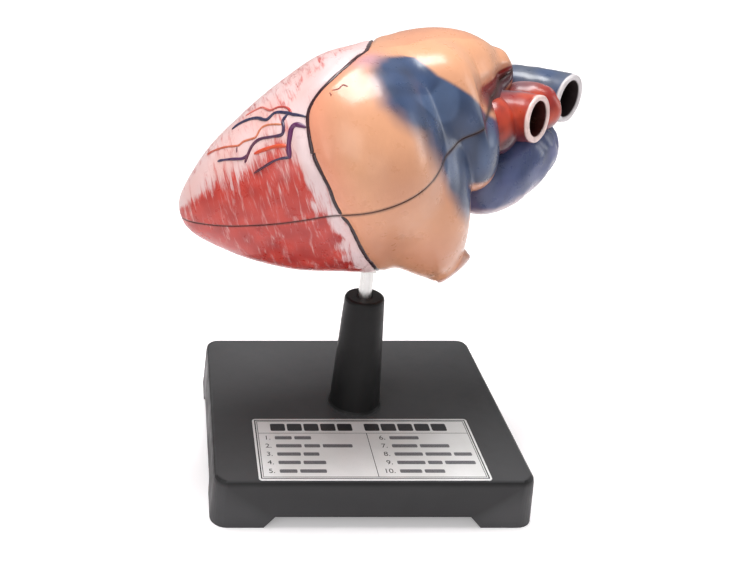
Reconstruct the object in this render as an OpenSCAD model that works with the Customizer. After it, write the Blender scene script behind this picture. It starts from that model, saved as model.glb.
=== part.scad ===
// Two-part model of the human heart on a rod, standing in a post on a moulded base tray.
// Millimetres. Z is up, the base rests on z = 0 and -Y is the front. The origin is under the
// middle of the whole model, so the post stands a little to the left of it.
// The heart is drawn lying on its own axes: x from apex to great vessels, y away from the
// viewer, z towards the cover. The flat seam between its two halves is z = 0 there.

/* [Base] */
// Width of the base tray, left to right
base_w = 150; // [120:1:200]
// Depth of the base tray, front to back
base_d = 130; // [100:1:180]
// Height of the base tray
base_h = 25; // [18:0.5:36]
// Radius of the tray's upright corners
corner_r = 8; // [4:0.5:16]
// How much the skirt leans in towards the top, each side
draft = 1.6; // [0.4:0.1:3]
// Wall of the tray
tray_wall = 2.6; // [1.8:0.1:4]
// Height of the gap under each skirt, between the corner feet
foot_gap = 6; // [3:0.5:10]
// Length of a corner foot along the skirt
foot_l = 24; // [16:1:36]

/* [Key card] */
// Width of the printed key card
card_w = 106; // [70:1:130]
// Depth of the key card
card_d = 47.5; // [30:0.5:50]
// Thickness of the key card
card_t = 0.4; // [0.2:0.1:1]

/* [Post and rod] */
// Height of the post above the base
post_h = 62; // [40:1:90]
// Diameter of the post at its foot
post_foot = 26.2; // [20:0.2:34]
// Diameter of the post at its top
post_top = 19; // [14:0.2:26]
// Diameter of the rod
rod_dia = 6.35; // [5:0.05:8]
// How deep the rod sits in the post
rod_depth = 38; // [25:1:45]
// Clearance on radius of the rod in the post and in the sleeve
fit = 0.06; // [0.03:0.01:0.1]
// Outer diameter of the sleeve in the floor of the heart
sleeve_dia = 13; // [11:0.2:18]
// Length of the sleeve
sleeve_l = 15; // [13:0.5:22]

/* [Heart] */
// Length of the heart along its own axis
heart_l = 165; // [150:1:172]
// How far the heart's axis rises towards the vessels, degrees
rise = 18; // [10:1:26]
// How far the seam leans back from the viewer, degrees
lean = 7.62; // [2:0.1:14]
// Wall of the two moulded halves
wall = 3; // [2.4:0.1:4]
// Thickness of the muscle lining in the ventricles
lining = 6; // [4:0.5:8]
// Small chamfer along both lips of the seam
lip = 0.5; // [0.3:0.1:0.8]

/* [Vessels] */
// Outer radius of the aorta
aorta_r = 11; // [9:0.2:11.6]
// How much wider the aorta is at its root, on radius
aorta_root = 3.5; // [1:0.5:4.5]
// Outer radius of the pulmonary artery
artery_r = 11.5; // [9:0.2:11.8]
// Wall of both vessels
vessel_wall = 3; // [2:0.1:4]
// Outer radius of the lower hollow vein
cava_r = 10; // [8:0.2:11]
// Outer diameter of the lung veins
vein_dia = 12; // [9:0.5:14]

/* [Inside] */
// Thickness of the wall between the ventricles
septum_t = 6; // [4:0.5:8]
// Diameter of the left valve opening
mitral_dia = 20; // [14:0.5:22]
// Diameter of the right valve opening
tricuspid_dia = 22; // [14:0.5:24]
// Diameter of the locating pins
pin_dia = 3; // [2.4:0.1:3.6]
// Height of the locating pins above the seam
pin_h = 5; // [3:0.5:6]

/* [Hidden] */
$fn = 64;
k = heart_l / 165;               // size of the heart against its table of sections
post_x = -6 * k;                 // place of the post, left of the middle of the whole model
ns = 38;                         // sections along the heart
na = 24;                         // steps round each half
z_top = base_h + post_h;         // top of the post
z_floor = z_top + 19;            // underside of the sleeve
washer_t = 1.2;
washer_dia = 12;
nut_h = 3.2;
nut_af = 10;
play = 0.05;                     // end play of the sleeve between the washers
rod_top = z_floor + sleeve_l + 2 * play + washer_t + nut_h + 2;
sink = 1.2;                      // how far bonded pieces reach into the wall they are bonded to

// Sections of the heart: x, shift of the axis in y, half width, height over and under the seam
sections = [
  [0, -3, 0, 0, 0], [1.2, -3, 7, 5, 8], [8, -3, 15, 13, 17], [22, -2, 26, 24, 30],
  [42, -1, 36, 34, 43], [62, 0, 42, 42, 51], [80, 1, 45, 47, 57], [98, 6, 41, 44, 59],
  [115, 13, 34, 35, 48], [132, 21, 26, 26, 30], [144, 26, 21, 20, 28], [151, 30, 17, 17, 23],
  [156, 36, 12, 14, 15], [162, 38, 8, 9, 9], [164, 38, 4, 4, 4], [165, 38, 0, 0, 0]
];
// Swellings on it: centre x y z, half lengths, drift of the centre in y along x
right_auricle = [88, -13, 6, 32, 35, 33, 0];
right_atrium = [106, 0, -36, 24, 24, 33, 0];
left_auricle = [121, 35, 7, 38, 19, 25, 0];
outflow = [114, 8, 11, 30, 15, 24, -0.5];
cava_root = [131, 9, -19, 17, 17, 20, -0.3];
swellings = [right_auricle, right_atrium, left_auricle, outflow, cava_root];
// Dent where the aorta leaves: x, angle, half length, half angle, share of the reach taken off
root_dent = [154, 166, 16, 34, 0.5];
// Centre lines of the two great arteries
aorta_path = [[136, 31, -16], [147, 25, -15.5], [158, 17, -14.3], [166, 9, -14.4]] * k;
artery_path = [[150, 45, -13.5], [163, 46, -15], [176, 38.5, -18], [186, 27, -19.5]] * k;

// Root and direction of the lower hollow vein
cava_at = [108, -9.5, -56] * k;
cava_to = [113.2, -14.9, -65.4] * k;

// ---- curves ----
function spline(t, s) = let (n = len(t) - 1, c = min(max(s, 0), 1) * n, i = min(floor(c), n - 1),
  f = c - i, a = t[max(i - 1, 0)], b = t[i], d = t[i + 1], e = t[min(i + 2, n)])
  0.5 * (2 * b + (d - a) * f + (2 * a - 5 * b + 4 * d - e) * f * f
  + (3 * b - a - 3 * d + e) * f * f * f);
// Reach of a swelling from the axis, in the direction a round the section at x
function swell_r(x, y, a, e) = let (t = (x - e[0]) / e[3], q = sqrt(max(0, 1 - t * t)))
  q <= 0 ? 0 : max(0, q * norm([e[4] * cos(a), e[5] * sin(a)])
  + sqrt(q) * ((e[1] + e[6] * (x - e[0]) - y) * cos(a) + e[2] * sin(a)));
function sum(v, i = 0) = i >= len(v) ? 0 : v[i] + sum(v, i + 1);
function dented(x, a, e) = let (u = min(1, abs(x - e[0]) / e[2]), v = min(1, abs(a - e[1]) / e[3]))
  1 - e[4] * sqrt(max(0, cos(90 * u))) * pow(cos(90 * v), 2);
function skin_r(row, a) = let (h = sin(a) >= 0 ? row[3] : row[4],
  r0 = 1 / sqrt(pow(cos(a) / row[2], 2) + pow(sin(a) / h, 2)))
  pow(pow(r0, 10) + sum([for (e = swellings) pow(swell_r(row[0], row[1], a, e), 10)]), 0.1)
  * dented(row[0], a, root_dent);
function row(i) = spline(sections, i / ns);
// Point at depth d under the skin, at section i and angle a
function ring_x(i, d) = k * row(i)[0] * (heart_l - 2 * d) / heart_l + d;
function ring_r(i, a, d) = let (r = k * skin_r(row(i), a)) r - d * min(1, r / (2 * d + 0.01));
function at(i, a, d) = let (r = ring_r(i, a, d))
  [ring_x(i, d), k * row(i)[1] + r * cos(a), r * sin(a)];
function quad(a, b, c, d) = [[a, b, c], [a, c, d]];
function flat(v) = [for (a = v) for (b = a) b];

// ---- helpers ----
module stand() translate([post_x, 0, 0]) children();
module heart() stand() translate([-89 * k, 0, z_floor + 26.5 * k]) rotate([0, -rise, 0])
  rotate([lean, 0, 0]) children();
module turned(p, q) let (v = q - p, l = norm(v))
  translate(p) rotate([0, acos(v[2] / l), atan2(v[1], v[0])]) children();
module strut(p, q, r1, r2) turned(p, q) cylinder(h = norm(q - p), r1 = r1, r2 = r2, $fn = 24);

// One layer of one half: from skin depth d0 to d1, sections i0 to i1, a0 = 0 over and 180 under
module half_layer(a0, d0, d1, i0 = 0, i1 = ns, low = 0) {
  closed0 = i0 == 0;
  closed1 = i1 == ns;
  is = [for (i = [i0 + (closed0 ? 1 : 0):i1 - (closed1 ? 1 : 0)]) i];
  up = a0 == 0 ? 1 : -1;
  m = na + 1;
  function ring(i, d, cut) = let (r0 = ring_r(i, a0, d), r1 = ring_r(i, a0 + 180, d),
    b0 = asin(min(0.5, (lip + low) / r0)), b1 = asin(min(0.5, (lip + low) / r1)))
    [for (j = [0:na]) let (a = j == 0 ? a0 + (low > 0 ? b0 : 0) : j == na
      ? a0 + 180 - (low > 0 ? b1 : 0) : a0 + b0 + (j - 1) * (180 - b0 - b1) / (na - 2),
      r = ring_r(i, a, d) - ((j == 0 || j == na) ? cut : 0))
      [ring_x(i, d), k * row(i)[1] + r * cos(a),
       (j == 0 || j == na) ? up * low : r * sin(a)]];
  outer = [for (i = is) ring(i, d0, low > 0 ? 0 : lip)];
  inner = [for (i = is) ring(i, d1, 0)];
  n = len(is);
  po = 2 * n * m;
  tips = [[ring_x(0, d0), k * row(0)[1], 0], [ring_x(0, d1), k * row(0)[1], 0],
          [ring_x(ns, d0), k * row(ns)[1], 0], [ring_x(ns, d1), k * row(ns)[1], 0]];
  function o(i, j) = i * m + j;
  function p(i, j) = (n + i) * m + j;
  skin = flat([for (i = [0:n - 2]) for (j = [0:na - 1])
    quad(o(i, j), o(i + 1, j), o(i + 1, j + 1), o(i, j + 1))]);
  bowl = flat([for (i = [0:n - 2]) for (j = [0:na - 1])
    quad(p(i, j), p(i, j + 1), p(i + 1, j + 1), p(i + 1, j))]);
  rim = flat([for (i = [0:n - 2]) concat(quad(o(i, 0), p(i, 0), p(i + 1, 0), o(i + 1, 0)),
    quad(o(i, na), o(i + 1, na), p(i + 1, na), p(i, na)))]);
  end0 = closed0
    ? concat([for (j = [0:na - 1]) [po, o(0, j), o(0, j + 1)]],
      [for (j = [0:na - 1]) [po + 1, p(0, j + 1), p(0, j)]],
      quad(po, po + 1, p(0, 0), o(0, 0)), quad(po, o(0, na), p(0, na), po + 1))
    : flat([for (j = [0:na - 1]) quad(o(0, j), o(0, j + 1), p(0, j + 1), p(0, j))]);
  end1 = closed1
    ? concat([for (j = [0:na - 1]) [po + 2, o(n - 1, j + 1), o(n - 1, j)]],
      [for (j = [0:na - 1]) [po + 3, p(n - 1, j), p(n - 1, j + 1)]],
      quad(po + 2, o(n - 1, 0), p(n - 1, 0), po + 3),
      quad(po + 2, po + 3, p(n - 1, na), o(n - 1, na)))
    : flat([for (j = [0:na - 1]) quad(o(n - 1, j), p(n - 1, j), p(n - 1, j + 1), o(n - 1, j + 1))]);
  polyhedron(concat(flat(outer), flat(inner), (closed0 || closed1) ? tips : []),
    concat(skin, bowl, rim, end0, end1), convexity = 10);
}
// Solid core of the back half at skin depth d, from section i0 to the vessels
module back_core(d, i0) {
  m = na + 1;
  n = ns - i0;
  tip = [ring_x(ns, d), k * row(ns)[1], 0];
  polyhedron(concat(flat([for (i = [i0:ns - 1]) [for (j = [0:na]) at(i, 180 + 180 * j / na, d)]]),
    [tip]), concat([[for (j = [0:na]) j]],
    flat([for (i = [0:n - 2]) for (j = [0:na]) quad(i * m + j, (i + 1) * m + j,
      (i + 1) * m + (j + 1) % m, i * m + (j + 1) % m)]),
    [for (j = [0:na]) [n * m, (n - 1) * m + (j + 1) % m, (n - 1) * m + j]]), convexity = 6);
}
// Bent pipe along a path with an outer radius, a wall and a wider root. A blind one is closed there.
module pipe(path, r, w, root = 0, blind = false, steps = 12, sides = 28) {
  c = [for (i = [0:steps]) spline(path, i / steps)];
  b = blind ? 3 : 0;
  function dir(i) = let (v = c[min(i + 1, steps)] - c[max(i - 1, 0)]) v / norm(v);
  function loop(i, q) = let (t = dir(i), s = cross(t, [0, 0, 1]), u = s / norm(s), n = cross(u, t))
    [for (j = [0:sides - 1]) let (a = 360 * j / sides) c[i] + q * (cos(a) * u + sin(a) * n)];
  function swell(i) = root * max(0, 1 - i / steps / 0.85);
  pts = concat(flat([for (i = [0:steps]) loop(i, r + swell(i))]),
    flat([for (i = [b:steps]) loop(i, r - w + swell(i))]));
  function o(i, j) = i * sides + j % sides;
  function p(i, j) = (steps + 1 + i - b) * sides + j % sides;
  polyhedron(pts, concat(
    flat([for (i = [0:steps - 1]) for (j = [0:sides - 1])
      quad(o(i, j), o(i, j + 1), o(i + 1, j + 1), o(i + 1, j))]),
    flat([for (i = [b:steps - 1]) for (j = [0:sides - 1])
      quad(p(i, j), p(i + 1, j), p(i + 1, j + 1), p(i, j + 1))]),
    blind ? [[for (j = [sides - 1:-1:0]) o(0, j)], [for (j = [0:sides - 1]) p(b, j)]]
      : flat([for (j = [0:sides - 1]) quad(o(0, j), p(0, j), p(0, j + 1), o(0, j + 1))]),
    flat([for (j = [0:sides - 1])
      quad(o(steps, j), o(steps, j + 1), p(steps, j + 1), p(steps, j))])), convexity = 6);
}
// Rounded block: a sphere pushed towards a box by the power e
module pebble(s, e, rings = 16, sides = 28) {
  function f(v) = (v < 0 ? -1 : 1) * pow(abs(v), 2 / e);
  pts = concat([[0, 0, -s[2]], [0, 0, s[2]]], flat([for (i = [1:rings - 1])
    let (b = -90 + 180 * i / rings) [for (j = [0:sides - 1]) let (a = 360 * j / sides)
      [s[0] * f(cos(b)) * f(cos(a)), s[1] * f(cos(b)) * f(sin(a)), s[2] * f(sin(b))]]]));
  function q(i, j) = 2 + (i - 1) * sides + j % sides;
  polyhedron(pts, concat(
    flat([for (i = [1:rings - 2]) for (j = [0:sides - 1])
      quad(q(i, j), q(i + 1, j), q(i + 1, j + 1), q(i, j + 1))]),
    [for (j = [0:sides - 1]) [0, q(1, j), q(1, j + 1)]],
    [for (j = [0:sides - 1]) [1, q(rings - 1, j + 1), q(rings - 1, j)]]), convexity = 2);
}
// Solid with the tray's rounded plan, given as [z, inset] levels
module tray_solid(levels) {
  nc = 8;
  function loop(z, e) = let (r = max(corner_r - e, 1))
    [for (c = [[1, 1, 0], [-1, 1, 90], [-1, -1, 180], [1, -1, 270]]) for (j = [0:nc])
      let (a = c[2] + 90 * j / nc) [c[0] * (base_w / 2 - e - r) + r * cos(a),
        c[1] * (base_d / 2 - e - r) + r * sin(a), z]];
  m = 4 * (nc + 1);
  n = len(levels);
  polyhedron(flat([for (l = levels) loop(l[0], l[1])]), concat(
    [[for (j = [0:m - 1]) j]], [[for (j = [m - 1:-1:0]) (n - 1) * m + j]],
    flat([for (i = [0:n - 2]) for (j = [0:m - 1]) quad(i * m + j, (i + 1) * m + j,
      (i + 1) * m + (j + 1) % m, i * m + (j + 1) % m)])), convexity = 2);
}

// ---- stand ----
module base_tray() color([0.24, 0.24, 0.25]) stand() difference() {
  union() {
    difference() {
      tray_solid([[0, 0], [base_h - 3, draft], [base_h - 1, draft + 0.5], [base_h, draft + 1.6]]);
      tray_solid([[-1, tray_wall], [base_h - tray_wall, draft + tray_wall]]);
    }
    translate([0, 0, base_h - 12]) cylinder(h = 12 - tray_wall / 2, d = post_foot - 4);
    for (s = [-1, 1]) {
      translate([-base_w / 2 + draft + 1.5, s * base_d / 5 - 1, base_h - 11])
        cube([base_w - 2 * draft - 3, 2, 11 - tray_wall / 2]);
      translate([s * base_w / 5 - 1, -base_d / 2 + draft + 1.5, base_h - 11])
        cube([2, base_d - 2 * draft - 3, 11 - tray_wall / 2]);
    }
  }
  // gaps between the corner feet, with sloped ends
  for (s = [-1, 1]) {
    translate([0, s * base_d / 2, 0]) rotate([90, 0, 0]) linear_extrude(20, center = true)
      polygon([[-base_w / 2 + foot_l, -1], [base_w / 2 - foot_l, -1],
        [base_w / 2 - foot_l - foot_gap, foot_gap], [-base_w / 2 + foot_l + foot_gap, foot_gap]]);
    translate([s * base_w / 2, 0, 0]) rotate([90, 0, 90]) linear_extrude(20, center = true)
      polygon([[-base_d / 2 + foot_l, -1], [base_d / 2 - foot_l, -1],
        [base_d / 2 - foot_l - foot_gap, foot_gap], [-base_d / 2 + foot_l + foot_gap, foot_gap]]);
  }
  translate([0, 0, base_h - 20]) cylinder(h = 30, d = 4.4);
}
module post() color([0.2, 0.2, 0.21]) stand() translate([0, 0, base_h]) difference() {
  rotate_extrude($fn = 96) polygon([[0, 0], [post_foot / 2, 0], [post_foot / 2, 1.4],
    [post_foot / 2 - 0.6, 2.6], [post_top / 2, post_h - 1.6], [post_top / 2 - 0.4, post_h - 0.6],
    [post_top / 2 - 1.4, post_h], [0, post_h]]);
  translate([0, 0, post_h - rod_depth]) cylinder(h = rod_depth + 1, r = rod_dia / 2 + fit);
  translate([0, 0, post_h - 0.8]) cylinder(h = 1, r1 = rod_dia / 2 + fit, r2 = rod_dia / 2 + 1);
  translate([0, 0, -1]) cylinder(h = 15, d = 3.4);
}
module post_screw() color([0.7, 0.7, 0.72]) stand() difference() {
  union() {
    translate([0, 0, base_h - 13 - 2.6]) cylinder(h = 2.6, d1 = 6.4, d2 = 8);
    translate([0, 0, base_h - 13]) cylinder(h = 25, d = 3.4);
  }
  for (a = [0, 90]) translate([0, 0, base_h - 15.7]) rotate([0, 0, a])
    cube([4.2, 1, 3], center = true);
}
module post_washer() color([0.75, 0.75, 0.76]) stand() translate([0, 0, base_h - 13]) difference() {
  cylinder(h = 1, d = 12);
  translate([0, 0, -1]) cylinder(h = 3, d = 3.4);
}
module key_card() color([0.96, 0.96, 0.95]) stand()
  translate([-card_w / 2, -base_d / 2 + 3, base_h]) cube([card_w, card_d, card_t]);

// ---- rod ----
module rod() color([0.82, 0.82, 0.8]) stand() translate([0, 0, z_top - rod_depth]) difference() {
  cylinder(h = rod_top - z_top + rod_depth, d = rod_dia);
  difference() {
    translate([0, 0, rod_top - z_top + rod_depth - 0.8]) cylinder(h = 2, d = rod_dia + 2);
    translate([0, 0, rod_top - z_top + rod_depth - 0.8]) cylinder(h = 0.8, d1 = rod_dia,
      d2 = rod_dia - 1.6);
  }
}
module hex_nut(z) translate([0, 0, z]) difference() {
  cylinder(h = nut_h, d = nut_af / cos(30), $fn = 6);
  translate([0, 0, -1]) cylinder(h = nut_h + 2, d = rod_dia);
}
module rod_nuts() color([0.78, 0.77, 0.7]) stand() {
  hex_nut(z_floor - play - washer_t - nut_h);
  hex_nut(z_floor + sleeve_l + play + washer_t);
}
module flat_washer(z) translate([0, 0, z]) difference() {
  cylinder(h = washer_t, d = washer_dia);
  translate([0, 0, -1]) cylinder(h = washer_t + 2, d = rod_dia);
}
module rod_washers() color([0.75, 0.75, 0.76]) stand() {
  flat_washer(z_floor - play - washer_t);
  flat_washer(z_floor + sleeve_l + play);
}

// ---- back half of the heart ----
module vessel_hole(path, r) let (p = path[0], v = (path[1] - path[0]) / norm(path[1] - path[0]))
  strut(p - 0.5 * v, p + 20 * v, r, r);
module heart_back() color([0.78, 0.36, 0.32]) difference() {
  heart() half_layer(180, 0, wall);
  stand() translate([0, 0, z_floor - 12]) cylinder(h = 30, d = sleeve_dia);
  heart() vessel_hole(aorta_path, aorta_r * k - vessel_wall / 2);
  heart() turned(cava_at, cava_to) translate([0, 0, -4]) cylinder(h = 16, r = cava_r * k - 1.2);
}
module ventricle_lining() color([0.72, 0.3, 0.28]) difference() {
  heart() half_layer(180, wall - 0.3, wall + lining, 3, 16, 0.4);
  stand() translate([0, 0, z_floor - 12]) cylinder(h = 60, d = sleeve_dia);
  heart() for (p = pin_at) translate(p - [0, 0, 7]) cylinder(h = 8, d = 10.4);
}
module septum_solid() {
  is = [for (i = [7:16]) i];
  n = len(is);
  d = wall + lining;
  function bed(i, y) = let (r0 = ring_r(i, 270, d), v = min(max(y - k * row(i)[1], -0.8 * r0), 0.8 * r0),
    a = 270 + asin(v / r0), r = ring_r(i, a, d)) -sqrt(r * r - v * v) - sink;
  function cut(i) = let (y = k * (row(i)[1] + 3 + 8 * (i - 5) / 11), h = septum_t / 2,
    b = bed(i, y), x = ring_x(i, wall))
    [[x, y - h - 2, bed(i, y - h - 2)], [x, y - h, b * 0.6], [x, y - h + 0.4, -2.5],
     [x, y - h + 1.6, -0.5], [x, y + h - 1.6, -0.5], [x, y + h - 0.4, -2.5], [x, y + h, b * 0.6],
     [x, y + h + 2, bed(i, y + h + 2)]];
  last = 8 * (n - 1);
  polyhedron(flat([for (i = is) cut(i)]), concat(
    [for (j = [1:6]) [0, j + 1, j]], [for (j = [1:6]) [last, last + j, last + j + 1]],
    flat([for (i = [0:n - 2]) for (j = [0:7]) quad(i * 8 + j, i * 8 + (j + 1) % 8,
      (i + 1) * 8 + (j + 1) % 8, (i + 1) * 8 + j)])), convexity = 4);
}
module septum() color([0.75, 0.33, 0.3]) heart() septum_solid();
// Place of the two valves on the cross wall
av = 17;
x_av = ring_x(av, wall);
y_mitral = k * (row(av)[1] + 24);
y_tricuspid = k * (row(av)[1] - 22);
z_valve = -22 * k;
module valve_slab() {
  m = 22;
  function face(i) = [for (j = [0:m - 1]) let (a = 180 + 180 * j / (m - 1), r = ring_r(i, a, wall)
    + (j == 0 || j == m - 1 ? 0.5 : sink)) [ring_x(i, wall), k * row(i)[1] + r * cos(a),
    min(-0.5, r * sin(a))]];
  polyhedron(concat(face(av - 0.3), face(av + 0.3)), concat([[for (j = [0:m - 1]) j]],
    [[for (j = [m - 1:-1:0]) m + j]], flat([for (j = [0:m - 1])
    quad(j, m + j, m + (j + 1) % m, (j + 1) % m)])), convexity = 2);
}
module valve_wall() color([0.85, 0.6, 0.5]) heart() difference() {
  valve_slab();
  translate([x_av - 6, y_mitral, z_valve]) rotate([0, 90, 0]) cylinder(h = 12, d = mitral_dia);
  translate([x_av - 6, y_tricuspid, z_valve]) rotate([0, 90, 0]) cylinder(h = 12, d = tricuspid_dia);
}
// Ring and cusps of a valve, opening towards the apex
module valve(d, cusps) rotate([0, -90, 0]) difference() {
  rotate_extrude($fn = 48) polygon([[d / 2 - 1.6, -2.6], [d / 2, -2.6], [d / 2, 2.4],
    [d / 2 - 0.6, 3], [d / 4 + 1, 11], [d / 4, 11], [d / 2 - 1.6, 2.4]]);
  for (i = [1:cusps]) rotate([0, 0, 360 * i / cusps]) translate([0, -0.6, 4]) cube([d, 1.2, 10]);
}
module mitral_valve() color([0.93, 0.86, 0.74]) heart()
  translate([x_av, y_mitral, z_valve]) valve(mitral_dia, 2);
module tricuspid_valve() color([0.93, 0.86, 0.74]) heart()
  translate([x_av, y_tricuspid, z_valve]) valve(tricuspid_dia, 3);
// Foot and tip of each papillary muscle, two to a ventricle
feet = [at(11, 300, wall + lining - 2), at(11, 335, wall + lining - 2),
        at(11, 235, wall + lining - 2), at(11, 205, wall + lining - 2)];
tips = [for (i = [0:3]) let (y = i < 2 ? y_mitral : y_tricuspid, s = (i == 0 || i == 2) ? -1 : 1,
  t = [x_av - 12, y + (i < 2 ? 4 : -4) * (s > 0 ? 1 : -1), z_valve + 3 * s]) feet[i]
  + (t - feet[i]) * 0.58];
module papillary_muscles() color([0.76, 0.36, 0.32]) heart()
  for (i = [0:3]) strut(feet[i], tips[i], 4.4, 1.8);
module chordae() color([0.95, 0.92, 0.85]) heart() for (i = [0:3]) for (s = [-1, 1])
  let (y = i < 2 ? y_mitral : y_tricuspid, e = (i < 2 ? mitral_dia : tricuspid_dia) / 4 + 0.5,
    a = (i % 2 == 0 ? 250 : 70) + 34 * s,
    q = [x_av - 10.7, y + e * cos(a), z_valve + e * sin(a)])
    strut(tips[i] - (q - tips[i]) * 0.03, q, 0.5, 0.5);
module rod_sleeve() color([0.86, 0.86, 0.84]) stand() translate([0, 0, z_floor]) difference() {
  cylinder(h = sleeve_l, d = sleeve_dia);
  translate([0, 0, -1]) cylinder(h = sleeve_l + 2, r = rod_dia / 2 + fit);
}
// Bulb at the aorta's root and the web between the two vessels, less e all round
module root_block(e) {
  translate([144.8, 15.4, -14.4] * k) rotate([0, 0, -35]) pebble([14, 14, 14] * k - [e, e, e], 2.1);
  translate([165.9, 29.8, -18.7] * k) rotate([0, 0, -36]) pebble([17, 10, 13] * k - [e, e, e], 2.1);
}
// Solid core of a vessel, thinner than its outside by e and run on past its mouth
module vessel_core(path, r, root, e) for (i = [0:2])
  strut(path[i], path[i + 1] + (i == 2 ? path[3] - path[2] : [0, 0, 0]),
    r - e + root * max(0, 1 - i / 2.55), r - e + root * max(0, 1 - (i + 1) / 2.55));
module aorta() color([0.65, 0.24, 0.2]) heart() {
  pipe(aorta_path, aorta_r * k, vessel_wall, aorta_root);
  difference() {
    root_block(0);
    back_core(sink, 18);
    vessel_core(aorta_path, aorta_r * k, aorta_root, 1.6);
    vessel_core(artery_path, artery_r * k, 0, 1.6);
  }
}
module pulmonary_artery() color([0.45, 0.5, 0.6]) heart() difference() {
  pipe(artery_path, artery_r * k, vessel_wall, blind = true);
  back_core(sink, 24);
}
module pulmonary_trunk() color([0.3, 0.4, 0.56]) heart() difference() {
  translate([150, 24, -41] * k) rotate([0, -6, 32]) pebble([31, 20, 17] * k, 2.4);
  back_core(sink, 18);
  root_block(1);
  vessel_core(aorta_path, aorta_r * k, aorta_root, 1);
  vessel_core(artery_path, artery_r * k, 0, 1);
}
module inferior_vena_cava() color([0.9, 0.78, 0.74]) heart() turned(cava_at, cava_to) difference() {
  cylinder(h = 12 * k, r = cava_r * k);
  translate([0, 0, -1]) cylinder(h = 30, r = cava_r * k - 2.4);
}
module pulmonary_veins() color([0.62, 0.3, 0.3]) heart() for (i = [18, 22])
  let (p = at(i, 318, wall), q = at(i, 318, 0), v = (q - p) / norm(q - p))
  turned(p + v * (wall - 2), p + v * 30) difference() {
    cylinder(h = 14 * k, d = vein_dia * k);
    translate([0, 0, -1]) cylinder(h = 40, d = vein_dia * k - 4);
  }
pin_at = [for (c = [[12, 0, -4.2], [12, 180, 4.2], [22, 0, -4.7], [19, 180, 5.4]])
  at(c[0], c[1], wall) + [0, c[2], 0]];
module locating_pins() color([0.85, 0.82, 0.75]) heart() for (p = pin_at) {
  translate(p - [0, 0, 7]) cylinder(h = 7, d = 10.4);
  translate(p) cylinder(h = pin_h - 0.5, d = pin_dia);
  translate(p + [0, 0, pin_h - 0.5]) cylinder(h = 0.5, d1 = pin_dia, d2 = pin_dia - 1);
}

// ---- cover: the front half ----
module heart_cover() color([0.9, 0.66, 0.5]) heart() half_layer(0, 0, wall);
module cover_lining() color([0.72, 0.3, 0.28]) heart() difference() {
  half_layer(0, wall - 0.3, wall + lining, 3, 16, 0.4);
  for (p = pin_at) translate(p - [0, 0, 1]) cylinder(h = 8, d = 10.4);
}
module pin_sockets() color([0.85, 0.82, 0.75]) heart() for (p = pin_at) translate(p) difference() {
  cylinder(h = 7, d = 10.4);
  translate([0, 0, -1]) cylinder(h = pin_h + 1.4, r = pin_dia / 2 + fit);
}

base_tray();
post();
post_screw();
post_washer();
key_card();
rod();
rod_nuts();
rod_washers();
heart_back();
ventricle_lining();
septum();
valve_wall();
mitral_valve();
tricuspid_valve();
papillary_muscles();
chordae();
rod_sleeve();
aorta();
pulmonary_artery();
pulmonary_trunk();
inferior_vena_cava();
pulmonary_veins();
locating_pins();
heart_cover();
cover_lining();
pin_sockets();
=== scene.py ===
"""Looks of the two-part heart model on its stand. Lengths in millimetres unless a name ends in _m."""

from math import cos, pi, radians, sin

import bmesh
import bpy
import numpy as np
from mathutils import Matrix, Vector

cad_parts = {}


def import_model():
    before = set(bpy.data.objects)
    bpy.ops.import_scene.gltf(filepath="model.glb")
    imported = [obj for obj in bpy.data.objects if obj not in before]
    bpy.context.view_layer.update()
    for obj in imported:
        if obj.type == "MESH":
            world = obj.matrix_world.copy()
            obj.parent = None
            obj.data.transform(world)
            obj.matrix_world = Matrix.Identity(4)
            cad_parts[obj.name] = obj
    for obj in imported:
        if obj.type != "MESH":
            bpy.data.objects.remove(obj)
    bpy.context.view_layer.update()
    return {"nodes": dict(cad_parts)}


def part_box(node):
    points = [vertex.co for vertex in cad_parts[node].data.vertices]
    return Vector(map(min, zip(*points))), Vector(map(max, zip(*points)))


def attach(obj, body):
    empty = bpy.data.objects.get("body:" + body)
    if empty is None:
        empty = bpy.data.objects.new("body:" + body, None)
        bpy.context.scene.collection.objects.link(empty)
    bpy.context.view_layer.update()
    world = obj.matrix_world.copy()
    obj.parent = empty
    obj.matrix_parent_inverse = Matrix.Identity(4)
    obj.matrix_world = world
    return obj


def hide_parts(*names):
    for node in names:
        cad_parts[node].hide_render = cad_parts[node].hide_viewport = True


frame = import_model()
MM = 0.001
SHRINK = 0.12  # how far the smooth skin stays under the solids' facets

# ---- the heart's own axes, as in the part's source ----
HEART_L, RISE, LEAN, WALL, LIP, SINK = 165.0, 18.0, 7.62, 3.0, 0.5, 1.2
HEART_AT = np.array([-95.0, 0.0, 132.5])
STAND_X = -6.0
SECTIONS = np.array([
    [0, -3, 0, 0, 0], [1.2, -3, 7, 5, 8], [8, -3, 15, 13, 17], [22, -2, 26, 24, 30],
    [42, -1, 36, 34, 43], [62, 0, 42, 42, 51], [80, 1, 45, 47, 57], [98, 6, 41, 44, 59],
    [115, 13, 34, 35, 48], [132, 21, 26, 26, 30], [144, 26, 21, 20, 28], [151, 30, 17, 17, 23],
    [156, 36, 12, 14, 15], [162, 38, 8, 9, 9], [164, 38, 4, 4, 4], [165, 38, 0, 0, 0]], float)
SWELLINGS = [[88, -13, 6, 32, 35, 33, 0], [106, 0, -36, 24, 24, 33, 0], [121, 35, 7, 38, 19, 25, 0],
             [114, 8, 11, 30, 15, 24, -0.5], [131, 9, -19, 17, 17, 20, -0.3]]
ROOT_DENT = (154, 166, 16, 34, 0.5)  # x, angle, half length, half angle, share of the reach taken off
AORTA_PATH = np.array([[136, 31, -16], [147, 25, -15.5], [158, 17, -14.3], [166, 9, -14.4]])
ARTERY_PATH = np.array([[150, 45, -13.5], [163, 46, -15], [176, 38.5, -18], [186, 27, -19.5]])
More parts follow.
